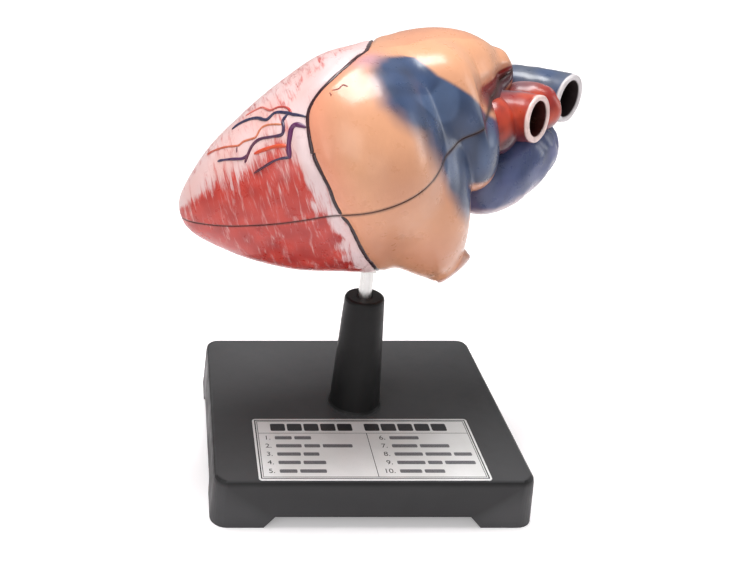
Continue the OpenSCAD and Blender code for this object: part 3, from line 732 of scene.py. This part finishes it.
def moulded_black(name, level, grain=1400.0, rough=0.42):
    """Moulded black plastic: fine grain, faint flow marks, dust and rubbed edges."""
    p = Paint(name, rough)
    cloud = p.noise(p.object_at, 28.0, 4.0, 0.6, 0.8)
    lit = (level * 1.5, level * 1.48, level * 1.5)
    base = p.blend(p.ramp(cloud, 0.3, 0.75), (level, level, level * 1.04), lit)
    dust = p.noise(p.object_at, 2600.0, 2.0, 0.8)
    base = p.blend(p.ramp(dust, 0.68, 0.8, 0.0, 0.35), base, (0.16, 0.155, 0.15))
    worn = p.node("ShaderNodeNewGeometry").outputs["Pointiness"]
    base = p.blend(p.ramp(worn, 0.53, 0.6, 0.0, 0.5), base, (0.13, 0.13, 0.135))
    p.colour(base)
    p.roughness(p.ramp(p.noise(p.object_at, 60.0, 5.0, 0.65), 0.3, 0.75, rough - 0.08, rough + 0.16))
    p.shader.inputs["Specular IOR Level"].default_value = 0.2
    first = p.bump(p.noise(p.object_at, grain, 3.0, 0.6), 0.22, 0.10)
    p.bump(p.noise(p.scaled(p.object_at, (30, 30, 5)), 1.0, 3.0, 0.5), 0.12, 0.3, first)
    return p.mat


def drawn_metal(name, colour, rough, stretch):
    """Bright metal with drawing lines along one way, and light tarnish."""
    p = Paint(name, rough, 1.0, colour)
    lines = p.noise(p.scaled(p.object_at, stretch), 1.0, 4.0, 0.7)
    tarnish = p.noise(p.object_at, 240.0, 4.0, 0.7)
    dull = tuple(v * 0.62 for v in colour)
    p.colour(p.blend(p.ramp(tarnish, 0.42, 0.75, 0.0, 0.35), colour, dull))
    p.roughness(p.ramp(lines, 0.3, 0.7, rough - 0.08, rough + 0.14))
    p.bump(lines, 0.25, 0.05)
    return p.mat


def card_stock():
    p = Paint("card_stock", 0.42)
    fibre = p.noise(p.scaled(p.object_at, (2500, 900, 900)), 1.0, 4.0, 0.65)
    cloud = p.noise(p.object_at, 35.0, 3.0, 0.5)
    base = p.blend(p.ramp(cloud, 0.3, 0.75), srgb(240, 240, 240), srgb(226, 226, 224))
    p.colour(p.blend(p.ramp(fibre, 0.55, 0.8, 0.0, 0.5), base, srgb(206, 205, 202)))
    p.roughness(p.ramp(cloud, 0.3, 0.7, 0.34, 0.5))
    p.bump(fibre, 0.12, 0.03)
    p.coat(0.3, 0.18)
    return p.mat


def printed_ink(name, dark, pale):
    p = Paint(name, 0.45)
    spread = p.noise(p.object_at, 3200.0, 3.0, 0.7)
    p.colour(p.blend(p.ramp(spread, 0.35, 0.75), dark, pale))
    p.roughness(p.ramp(spread, 0.3, 0.7, 0.38, 0.55))
    p.bump(spread, 0.1, 0.01)
    return p.mat


def inner_muscle(name, main, deep, light, rough=0.34):
    """Painted muscle inside the ventricles: ridged, with painted shade darkening its hollows, and pale brush
    marks.
    """
    p = Paint(name, rough)
    ridges = p.noise(p.scaled(p.object_at, (60, 170, 150)), 1.0, 4.0, 0.6, 1.6)
    fine = p.noise(p.scaled(p.object_at, (220, 700, 600)), 1.0, 3.0, 0.6, 0.8)
    cloud = p.noise(p.object_at, 40.0, 3.0, 0.55)
    # painted shade: the deep colour goes into the hollows of the ridges
    base = p.blend(p.ramp(ridges, 0.35, 0.62), deep, main)
    base = p.blend(p.ramp(fine, 0.55, 0.72, 0.0, 0.45), base, light)
    base = p.blend(p.ramp(cloud, 0.35, 0.7, 0.0, 0.4), base, p.shaded(base, (0.7, 0.6, 0.6)))
    p.colour(base)
    p.roughness(p.ramp(cloud, 0.3, 0.7, rough - 0.05, rough + 0.12))
    first = p.bump(ridges, 0.55, 0.9)
    p.bump(fine, 0.3, 0.2, first)
    p.coat(0.3, 0.16)
    return p.mat


def cream_tissue(name, main, shade, rough=0.36):
    """Cream paint of the valves, cords and pins, yellowed in random patches and along fine fibres."""
    p = Paint(name, rough)
    cloud = p.noise(p.object_at, 120.0, 4.0, 0.6, 0.5)
    fibre = p.noise(p.scaled(p.object_at, (160, 900, 900)), 1.0, 3.0, 0.6)
    base = p.blend(p.ramp(cloud, 0.35, 0.7), shade, main)
    p.colour(p.blend(p.ramp(fibre, 0.5, 0.75, 0.0, 0.4), base, p.shaded(base, (0.86, 0.72, 0.62))))
    p.roughness(p.ramp(cloud, 0.3, 0.7, rough - 0.05, rough + 0.1))
    p.bump(fibre, 0.25, 0.12)
    return p.mat


PLAIN = bpy.data.materials.new("tool")
SKIN_PAINT = hand_paint()
LINE_PAINT = hand_paint("line_paint", 0.26, 0.25)
BLACK_TRAY = moulded_black("black_tray", 0.008)
BLACK_POST = moulded_black("black_post", 0.010, 1900.0, 0.36)
CARD = card_stock()
INK = printed_ink("ink", (0.012, 0.012, 0.014), (0.05, 0.05, 0.055))
INK_PALE = printed_ink("ink_pale", (0.10, 0.10, 0.11), (0.24, 0.24, 0.25))
ROD_METAL = drawn_metal("rod_metal", (0.78, 0.78, 0.76), 0.3, (900, 900, 20))
ZINC = drawn_metal("zinc", (0.66, 0.65, 0.62), 0.34, (600, 600, 600))
MUSCLE_PAINT = inner_muscle("muscle_paint", MUSCLE, srgb(104, 20, 22), srgb(214, 120, 104))
VALVE_PAINT = cream_tissue("valve_paint", srgb(238, 220, 190), srgb(214, 178, 138))
WALL_PAINT = cream_tissue("wall_paint", srgb(222, 150, 126), srgb(190, 98, 84))
PIN_PLASTIC = cream_tissue("pin_plastic", srgb(228, 222, 206), srgb(206, 196, 172), 0.45)

NODE_MATERIALS = (
    (BLACK_TRAY, "base_tray"), (BLACK_POST, "post"), (ROD_METAL, "rod"), (WALL_PAINT, "valve_wall"),
    (ZINC, "post_screw", "post_washer", "rod_nuts", "rod_washers"),
    (MUSCLE_PAINT, "ventricle_lining", "septum", "cover_lining", "papillary_muscles"),
    (VALVE_PAINT, "mitral_valve", "tricuspid_valve", "chordae"),
    (PIN_PLASTIC, "rod_sleeve", "locating_pins", "pin_sockets"))
for material, *names in NODE_MATERIALS:
    for mesh in (frame["nodes"][name].data for name in names):
        mesh.materials.clear()
        mesh.materials.append(material)


# ---- the two halves ----
half_skin("cover_skin", True, "cover", "heart_cover")
back_skin = half_skin("back_skin", False, "heart", "heart_back")


def heart_line(p, q, r):
    return rod_solid(world(p), world(q), r)


aorta_way = (AORTA_PATH[1] - AORTA_PATH[0]) / np.linalg.norm(AORTA_PATH[1] - AORTA_PATH[0])
cut(back_skin, [
    rod_solid((STAND_X, 0, SLEEVE_Z - 12), (STAND_X, 0, SLEEVE_Z + 18), SLEEVE_R),
    heart_line(CAVA_AT - 4 * CAVA_WAY, CAVA_AT + 12 * CAVA_WAY, CAVA_R - 1.2),
    heart_line(AORTA_PATH[0] - 0.5 * aorta_way, AORTA_PATH[0] + 20 * aorta_way, AORTA_R - VESSEL_WALL / 2)])


# ---- vessels ----
def aorta_outer(p):
    """Red, with painted shade in dark purple-brown under the bulb and low at the root and in dark blue low
    down, grey-blue over the back.
    """
    c = mix(AORTA_RED, srgb(206, 78, 46), np.clip(0.35 + 0.4 * waves(p, 10, 51), 0, 1))
    # painted shade: dark purple-brown low on the bulb and towards the root
    low = smooth(-8, -20, p[:, 2] + 2 * waves(p, 9, 58)) * smooth(166, 152, p[:, 0])
    c = mix(c, srgb(62, 26, 42), np.clip(0.95 * low + 0.45 * smooth(146, 138, p[:, 0]), 0, 0.95))
    over = smooth(16, 26, p[:, 1] + 0.35 * (p[:, 0] - 150)) * smooth(-9, -4.5, p[:, 2])
    # grey-blue paint over the back, and painted shade in dark blue low down
    return mix(mix(c, BLUE_GREY, 0.85 * over), BLUE_DARK, 0.7 * smooth(-22, -29, p[:, 2]))


def artery_outer(p):
    c = mix(BLUE_GREY, BLUE, 0.5 + 0.3 * waves(p, 12, 53))
    # painted shade: darker blue towards the root
    return mix(c, BLUE_DARK, 0.6 * smooth(164, 150, p[:, 0]))


def cava_outer(p):
    return mix(PEACH_LOW, RIM_PINK, 0.25 + 0.2 * waves(p, 8, 55))


def vein_outer(p):
    return mix(srgb(176, 70, 60), srgb(150, 40, 38), 0.5 + 0.4 * waves(p, 6, 57))


def straight(start, way, *runs):
    return np.stack([start + way * run for run in runs])


tube("aorta_tube", AORTA_PATH, AORTA_R, VESSEL_WALL, aorta_outer, srgb(70, 30, 26), RIM_PINK,
     root=AORTA_ROOT, node="aorta")
artery = tube("pulmonary_artery_tube", ARTERY_PATH, ARTERY_R, VESSEL_WALL, artery_outer,
              srgb(54, 44, 46), srgb(214, 208, 210), blind=9.0, node="pulmonary_artery")
cut(artery, [core_solid(SINK, 105)])
tube("cava_tube", straight(CAVA_AT, CAVA_WAY, 0, 4, 8, 12), CAVA_R, 2.4, cava_outer,
     srgb(96, 44, 40), RIM_PINK, node="inferior_vena_cava")


def vein_stub(number, section, angle=318, r=6.0, wall=2.0):
    """Stub of a lung vein, square to the skin at a section of the source and an angle."""
    x = spline(SECTIONS, section / SECTION_COUNT)[0]
    outside, inside = on_skin(x, angle), on_skin(x, angle, -WALL)
    way = (outside - inside) / np.linalg.norm(outside - inside)
    path = straight(inside + way * (WALL - 2), way, 0, 5, 9, 13.9)
    tube(f"pulmonary_vein_{number}", path, r, wall, vein_outer, srgb(60, 22, 20), RIM_PINK,
         sides=64, node="pulmonary_veins" if number == 1 else None)


vein_stub(1, 18)
vein_stub(2, 22)


def vessel_tool(path, r, root, less):
    """Solid core of a vessel, run on past its mouth, to trim what is moulded round it."""
    share, sides = np.linspace(0, 1, 25), 64
    c = spline(path, share)
    t, u, v = ring_frames(c)
    c[-1] += 3 * t[-1]
    radius = (r - less + root * np.maximum(0, 1 - share / ROOT_RUN))[:, None]
    p = round_rings(c, u, v, radius, sides)
    return cutter(world(p.reshape(-1, 3)), capped_rings(len(c), sides))


def vessel_tools(less):
    return [vessel_tool(AORTA_PATH, AORTA_R, AORTA_ROOT, less), vessel_tool(ARTERY_PATH, ARTERY_R, 0.0, less)]


def pebble(size, power, centre, turn, tip=0.0, rings=80, sides=128, relief=None):
    """Points and faces of a rounded block, turned about z after a tip about y, with an inward relief."""
    lat = np.linspace(-pi / 2, pi / 2, rings + 1)[1:-1]
    lon = np.linspace(0, 2 * pi, sides, endpoint=False)

    def f(v):
        return np.sign(v) * np.abs(v) ** (2 / power)

    p = np.stack([size[0] * f(np.cos(lat))[:, None] * f(np.cos(lon))[None],
                  size[1] * f(np.cos(lat))[:, None] * f(np.sin(lon))[None],
                  size[2] * np.repeat(f(np.sin(lat))[:, None], sides, 1)], -1).reshape(-1, 3)
    p = np.concatenate([p, [[0, 0, -size[2]], [0, 0, size[2]]]])
    if relief is not None:
        p = p - p / np.linalg.norm(p, axis=1)[:, None] * relief(p)[:, None]
    a, b = radians(tip), radians(turn)
    tipped = np.array([[cos(a), 0, sin(a)], [0, 1, 0], [-sin(a), 0, cos(a)]])
    swung = np.array([[cos(b), -sin(b), 0], [sin(b), cos(b), 0], [0, 0, 1]])
    n = rings - 1
    idx = ring_numbers(n, sides)
    faces = grid_faces(idx, True) + fan(n * sides, idx[0], True) + fan(n * sides + 1, idx[-1])
    return p @ (swung @ tipped).T + np.array(centre, float), faces


# half sizes, power, centre and turn of the rounded blocks between the vessels
BULB = ((14, 14, 14), 2.1, (144.8, 15.4, -14.4), -35)
WEB = ((17, 10, 13), 2.1, (165.9, 29.8, -18.7), -36)
MASS = ((31.0, 20.0, 17.0), 2.4, (150, 24, -41), 32)
ROOT_LESS, MASS_LESS = 1.6, 1.0  # how far the cut for a vessel stays inside its outside


def root_piece(name, form):
    """The bulb at the aorta's root or the web between the two vessels, as a painted piece."""
    p, faces = pebble(*form, relief=lambda q: 0.15 + 0.12 * waves(q, 7, 71))
    col = aorta_outer(p) * (1 + 0.06 * waves(p, 5, 33))[:, None]
    ob = vessel_piece(name, p, faces, col, 60)
    cut(ob, [core_solid(SINK, 105)] + vessel_tools(ROOT_LESS))


root_piece("aorta_bulb", BULB)
root_piece("vessel_web", WEB)


def mass_relief(p):
    """Shallow scallops, deeper along the lower right."""
    edge = smooth(4, 22, p[:, 0])
    return 0.5 + 0.27 * waves(p, 17, 61) + (0.27 + 0.63 * edge) * np.clip(waves(p, 9, 63), -0.4, 1)


def blue_mass():
    """The rounded block of lung vessels under and behind the great arteries."""
    p, faces = pebble(*MASS, tip=-6, rings=90, sides=150, relief=lambda q: np.maximum(0.12, mass_relief(q)))
    tone = mix(srgb(84, 96, 138), srgb(56, 70, 108), np.clip(0.4 + 0.45 * waves(p, 14, 65), 0, 0.9))
    tone = mix(tone, srgb(112, 112, 158), 0.5 * np.clip(waves(p, 19, 68), 0, 1))
    # pale pink along the lower edge: pale paint with a painted highlight
    pale = smooth(-46, -54, p[:, 2] + 1.2 * waves(p, 6, 69))
    col = mix(tone, srgb(222, 196, 198), 0.75 * pale * smooth(14, 2, p[:, 1] - 6))
    ob = vessel_piece("lung_vessel_mass", p, faces, col, 60, 7, 67, 0.3)
    tools = [core_solid(SINK, 70)] + vessel_tools(MASS_LESS)
    for size, *rest in (BULB, WEB):
        q, faces = pebble(np.array(size) - MASS_LESS, *rest)
        tools.append(cutter(world(q), faces))
    cut(ob, tools)
    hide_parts("pulmonary_trunk")


blue_mass()

# ---- coronary vessels, drawn as raised painted lines ----
VEIN_INK, ARTERY_INK, PURPLE, ORANGE, TAN = (srgb(48, 44, 78), srgb(176, 50, 44), srgb(92, 34, 84),
                                             srgb(220, 84, 44), srgb(208, 128, 92))
COVER_LINES = {
    "trunk": ([(65.0, 121), (60.8, 115.9), (59.2, 113.4), (53.8, 106.5), (49.3, 107), (45.7, 99.2), (41.7,
        93), (37.3, 88.3), (33.7, 86.6)], 1.5, 0.75, VEIN_INK, VEIN_INK),
    "upper_artery": ([(60.2, 115), (58.9, 108.4), (55.8, 103.7), (51.8, 100.9), (48.8, 91.6), (45.6,
        88.1), (41, 84)], 1.1, 0.55, ARTERY_INK, srgb(226, 130, 116)),
    "middle_vein": ([(58.6, 113), (55.8, 115.7), (55.2, 120.7), (53.6, 124.2), (49.2, 121.9), (44.3,
        118.8), (40.9, 119.9), (37.9, 124.9), (35.7, 130)], 1.4, 0.7, VEIN_INK, srgb(96, 30, 60)),
    "tan_artery": ([(55.1, 118), (49.2, 111.9), (46, 111.3), (43.1, 115.2), (40.6, 114.1), (37.5, 112.1),
        (34.6, 112.1), (30, 105.1), (24.6, 96), (19.9, 87)], 1.1, 0.5, TAN, srgb(196, 84, 62)),
    "tan_twig": ([(34.2, 111.5), (33.8, 114.5), (33.4, 117.7)], 0.8, 0.4, srgb(110, 60, 70), srgb(110, 60,
        70)),
    "low_twig": ([(37.6, 124.6), (35.1, 125.6), (30.7, 120.8), (24.2, 112.6)], 1.3, 0.6, PURPLE,
        VEIN_INK),
    "thick_vein": ([(63.8, 127), (60.6, 122.9), (58.4, 123.5), (56.8, 127.6), (55, 133.8), (54.2, 140.5)],
        2.3, 1.0, PURPLE, PURPLE),
    "thick_twig": ([(54.4, 140), (51.3, 138.6), (47.4, 138.1), (43.1, 139.1), (38.2, 140.5)], 1.1, 0.6,
        VEIN_INK, srgb(90, 26, 40)),
    "orange_artery": ([(55, 132.8), (50.5, 129.8), (45, 127.9), (40.5, 127)], 1.7, 0.6, ORANGE, srgb(206,
        72, 44)),
    "squiggle": ([(84.6, 117.4), (82.8, 115.2), (80.6, 116.2), (77.4, 115.2), (77.0, 118.2)], 0.8, 0.3,
        srgb(120, 34, 30), srgb(150, 60, 44)),
    "far_vein": ([(101.5, 20), (92, 24), (82, 20), (72, 27), (60, 24), (48, 31), (36, 30)], 1.7, 0.8,
        VEIN_INK, PURPLE),
    "far_artery": ([(101, 32), (91, 37), (83, 33), (74, 41), (64, 39), (56, 47)], 1.4, 0.7, ARTERY_INK,
        ORANGE),
    "far_twig": ([(72, 27), (66, 18), (60, 14)], 1.1, 0.5, VEIN_INK, VEIN_INK),
}
BACK_LINES = {
    "descending_vein": ([(82, 278), (74, 283), (64, 279), (54, 286), (42, 283), (30, 288)], 2.0, 0.9,
        VEIN_INK, PURPLE),
    "descending_artery": ([(82.5, 287), (74, 292), (65, 290), (56, 297), (46, 295), (38, 301)], 1.5, 0.7,
        ARTERY_INK, ORANGE),
    "back_twig": ([(64, 279), (58, 270), (50, 266), (42, 268)], 1.1, 0.5, VEIN_INK, VEIN_INK),
    "back_branch": ([(65, 290), (60, 300), (52, 306), (46, 314)], 1.1, 0.5, ARTERY_INK, srgb(214, 110,
        90)),
    "side_vein": ([(92, 338), (82, 334), (72, 339), (60, 333), (50, 337)], 1.5, 0.7, VEIN_INK, PURPLE),
}
for lines, line_body in ((COVER_LINES, "cover"), (BACK_LINES, "heart")):
    for key, line in lines.items():
        stroke(f"coronary_{key}", *line, line_body)

# the dark line in the groove between atria and ventricles, split at the seam
COVER_GROOVE = [(102.5, 1.2), (103, 20), (103.4, 40), (103.2, 62)] + GROOVE[:13] + [(67.7, 179.5)]
BACK_GROOVE = [(67.8, 180.5)] + GROOVE[14:23] + [(98, 358.8)]
GROOVE_DARK = srgb(44, 18, 26)
stroke("groove_line_cover", COVER_GROOVE, 1.8, 0.5, MAROON, GROOVE_DARK, "cover", 0.9, -0.5)
stroke("groove_line_back", BACK_GROOVE, 1.8, 0.5, GROOVE_DARK, GROOVE_DARK, "heart", 0.9, -0.5)

# ---- key card ----
CARD_LOW, CARD_HIGH = (np.array(c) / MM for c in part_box("key_card"))
CARD_CORNER, CARD_EDGE = 1.6, 0.12


def rounded_plate(name, lo, hi, z0, z1, corner, material, body, edge=0.0, steps=6):
    """Flat plate with rounded corners and a small bevel on its top edge."""
    def outline(inset, z):
        pts = []
        for sx, sy, start in ((1, 1, 0), (-1, 1, 90), (-1, -1, 180), (1, -1, 270)):
            cx = (hi[0] if sx > 0 else lo[0]) - sx * corner
            cy = (hi[1] if sy > 0 else lo[1]) - sy * corner
            for q in np.radians(start + np.linspace(0, 90, steps + 1)):
                pts.append((cx + (corner - inset) * cos(q), cy + (corner - inset) * sin(q), z))
        return pts

    levels = [(0, z0), (0, z1 - edge)] + ([(edge * 0.3, z1 - edge * 0.3), (edge, z1)] if edge else [(0, z1)])
    rings = [outline(*level) for level in levels]
    n = len(rings[0])
    faces = [tuple(range(n))[::-1]]
    for k in range(len(rings) - 1):
        low, high = k * n, (k + 1) * n
        faces += [(low + j, low + (j + 1) % n, high + (j + 1) % n, high + j) for j in range(n)]
    faces.append(tuple(range((len(rings) - 1) * n, len(rings) * n)))
    return make_mesh(name, np.array([p for r in rings for p in r]), faces, body, material, sharp=35)


def joined(name, parts, material, body):
    """One piece from several small ones."""
    verts, faces = [], []
    for part in parts:
        base = len(verts)
        verts += [tuple(part.matrix_world @ v.co) for v in part.data.vertices]
        faces += [tuple(base + i for i in f.vertices) for f in part.data.polygons]
        bpy.data.objects.remove(part)
    return make_mesh(name, np.array(verts) / MM, faces, body, material, sharp=35)


card = rounded_plate("card", CARD_LOW, CARD_HIGH, CARD_LOW[2] + 0.005, CARD_HIGH[2], CARD_CORNER, CARD,
                     "stand", CARD_EDGE)
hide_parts("key_card")
INK_LOW, INK_HIGH = CARD_HIGH[2] - 0.01, CARD_HIGH[2] + 0.03


def ink_box(x0, y0, x1, y1, corner=0.12):
    """Printed bar, from the card's left front corner, x to the right and y to the back."""
    low, high = CARD_LOW + [x0, y0, 0], CARD_LOW + [x1, y1, 0]
    return rounded_plate("bar", low, high, INK_LOW, INK_HIGH, corner, INK, None, steps=2)


def frame_lines(inset, thick):
    w, d = (CARD_HIGH - CARD_LOW)[:2]
    a, b, c, e = inset, inset + thick, w - inset, d - inset
    return [ink_box(a, a, c, b, 0.05), ink_box(a, e - thick, c, e, 0.05), ink_box(a, b, b, e - thick, 0.05),
            ink_box(c - thick, b, c, e - thick, 0.05)]


def numeral(text, x, y, height):
    """A plain number as a thin mesh on the card."""
    curve = bpy.data.curves.new("digit", "FONT")
    curve.body = text
    curve.size = height * 1.38 * MM
    curve.extrude = 0.5 * (INK_HIGH - INK_LOW) * MM
    curve.align_x = "RIGHT"
    holder = placed("digit", curve)
    me = evaluated_mesh(holder)
    bpy.data.objects.remove(holder)
    place = Vector((CARD_LOW + [x, y, 0]) * MM)
    place.z = 0.5 * (INK_LOW + INK_HIGH) * MM
    me.transform(Matrix.Translation(place))
    return placed("digit", me)


def print_card():
    """Two rules, a heading of plain blocks, and ten numbered rows with bars where words would be."""
    g = np.random.default_rng(12)
    w, d = (CARD_HIGH - CARD_LOW)[:2]
    dark = frame_lines(1.0, 0.55) + frame_lines(2.1, 0.28)
    head_top, head_low = d - 4.2, d - 10.0
    x = 8.5
    for word in (5, 5):
        for k in range(word):
            dark.append(ink_box(x, head_low, x + 7.2, head_top, 0.7))
            x += 8.2
        x += 5.0
    dark.append(ink_box(2.2, head_low - 2.0, w - 2.2, head_low - 1.75, 0.05))
    middle = w * 0.515
    dark.append(ink_box(middle, 2.3, middle + 0.3, head_low - 1.9, 0.05))
    pale, row_pitch, top = [], 6.35, head_low - 7.0
    for k in range(10):
        col, row = divmod(k, 5)
        left = 6.8 + (middle + 0.6 if col else 0)
        y = top - row_pitch * row
        dark.append(numeral(f"{k + 1}.", left + 1.2, y, 3.2))
        at, words = left + 3.2, 1 + (g.random() < 0.72) + (g.random() < 0.3)
        for word in range(words):
            size = 6.5 + 8.5 * g.random()
            size = min(size, (middle if not col else w) - 4.5 - at)
            if size < 2:
                break
            pale.append(ink_box(at, y + 0.1, at + size, y + 2.6, 0.5))
            at += size + 1.3
    joined("card_print", dark, INK, "stand")
    joined("card_bars", pale, INK_PALE, "stand")


print_card()


# ---- stage ----
FLOOR_HALF_M, LIFT_FROM_TO_M, LIFT_NEAR_FAR = 3.0, (0.3, 1.3), (0.27, 0.62)
AMBIENT, BACKGROUND = 0.38, 0.97


def make_stage():
    """Plain pale floor that reads as white to the camera but still takes the object's shadow."""
    me = bpy.data.meshes.new("floor")
    s = FLOOR_HALF_M
    me.from_pydata([(-s, -s, 0), (s, -s, 0), (s, s, 0), (-s, s, 0)], [], [(0, 1, 2, 3)])
    floor = placed("floor", me)
    p = Paint("floor_paint", 0.75)
    cloud = p.noise(p.object_at, 2.0, 2.0, 0.5)
    p.colour(p.blend(p.ramp(cloud, 0.35, 0.7), srgb(250, 246, 247), srgb(244, 240, 242)))
    seen = p.node("ShaderNodeLightPath").outputs["Is Camera Ray"]
    p.shader.inputs["Emission Color"].default_value = (1, 1, 1, 1)
    away = p.node("ShaderNodeVectorMath", operation="LENGTH")
    p.link(p.object_at, away.inputs[0])
    lifted = p.ramp(away.outputs["Value"], *LIFT_FROM_TO_M, *LIFT_NEAR_FAR)
    p.link(p.maths("MULTIPLY", seen, lifted), p.shader.inputs["Emission Strength"])
    me.materials.append(p.mat)


make_stage()


HEART_MID = (-0.006, 0.0, 0.15)


def area_light(name, at, power, size, size_y):
    """Soft lamp of a width and height in metres, aimed at the middle of the heart."""
    data = bpy.data.lights.new(name, "AREA")
    data.shape = "RECTANGLE"
    data.size, data.size_y, data.energy = size, size_y, power
    ob = placed(name, data)
    ob.location = at
    ob.rotation_euler = (Vector(HEART_MID) - Vector(at)).to_track_quat("-Z", "Y").to_euler()


area_light("overhead", (-0.05, 0.14, 1.1), 11.5, 0.75, 0.4)
area_light("front_fill", (-0.75, -1.0, 0.85), 4.6, 0.9, 0.9)
area_light("right_side", (1.1, 0.05, 0.45), 1.8, 0.35, 0.7)
area_light("low_front", (0.15, -1.3, 0.3), 1.6, 0.8, 0.8)

world_paint = bpy.data.worlds.new("plain")
world_paint.use_nodes = True
bpy.context.scene.world = world_paint
tree = world_paint.node_tree
back = tree.nodes["Background"]
paths = tree.nodes.new("ShaderNodeLightPath")
strength = tree.nodes.new("ShaderNodeMapRange")
tree.links.new(paths.outputs["Is Camera Ray"], strength.inputs["Value"])
strength.inputs["To Min"].default_value, strength.inputs["To Max"].default_value = AMBIENT, BACKGROUND
tree.links.new(strength.outputs["Result"], back.inputs["Strength"])
back.inputs["Color"].default_value = (1.0, 1.0, 1.0, 1)

# ---- camera, solved from the base and the card in the photograph (753 x 564 px) ----
PIXELS_WIDE, FOCAL_PX, CENTRE_X_PX, CAMERA_PITCH, SENSOR = 753, 986.9, 174.3, 27.41, 36.0
CAMERA_AT = (-0.0974, -0.4175, 0.3108)
camera_data = bpy.data.cameras.new("camera")
camera_data.sensor_width = SENSOR
camera_data.lens = FOCAL_PX * SENSOR / PIXELS_WIDE
camera_data.shift_x = 0.5 - CENTRE_X_PX / PIXELS_WIDE
camera = placed("camera", camera_data)
camera.location = CAMERA_AT
camera.rotation_euler = (radians(90 - CAMERA_PITCH), 0, 0)
bpy.context.scene.camera = camera
bpy.context.scene.view_settings.view_transform = "Standard"

bpy.data.materials.remove(PLAIN)
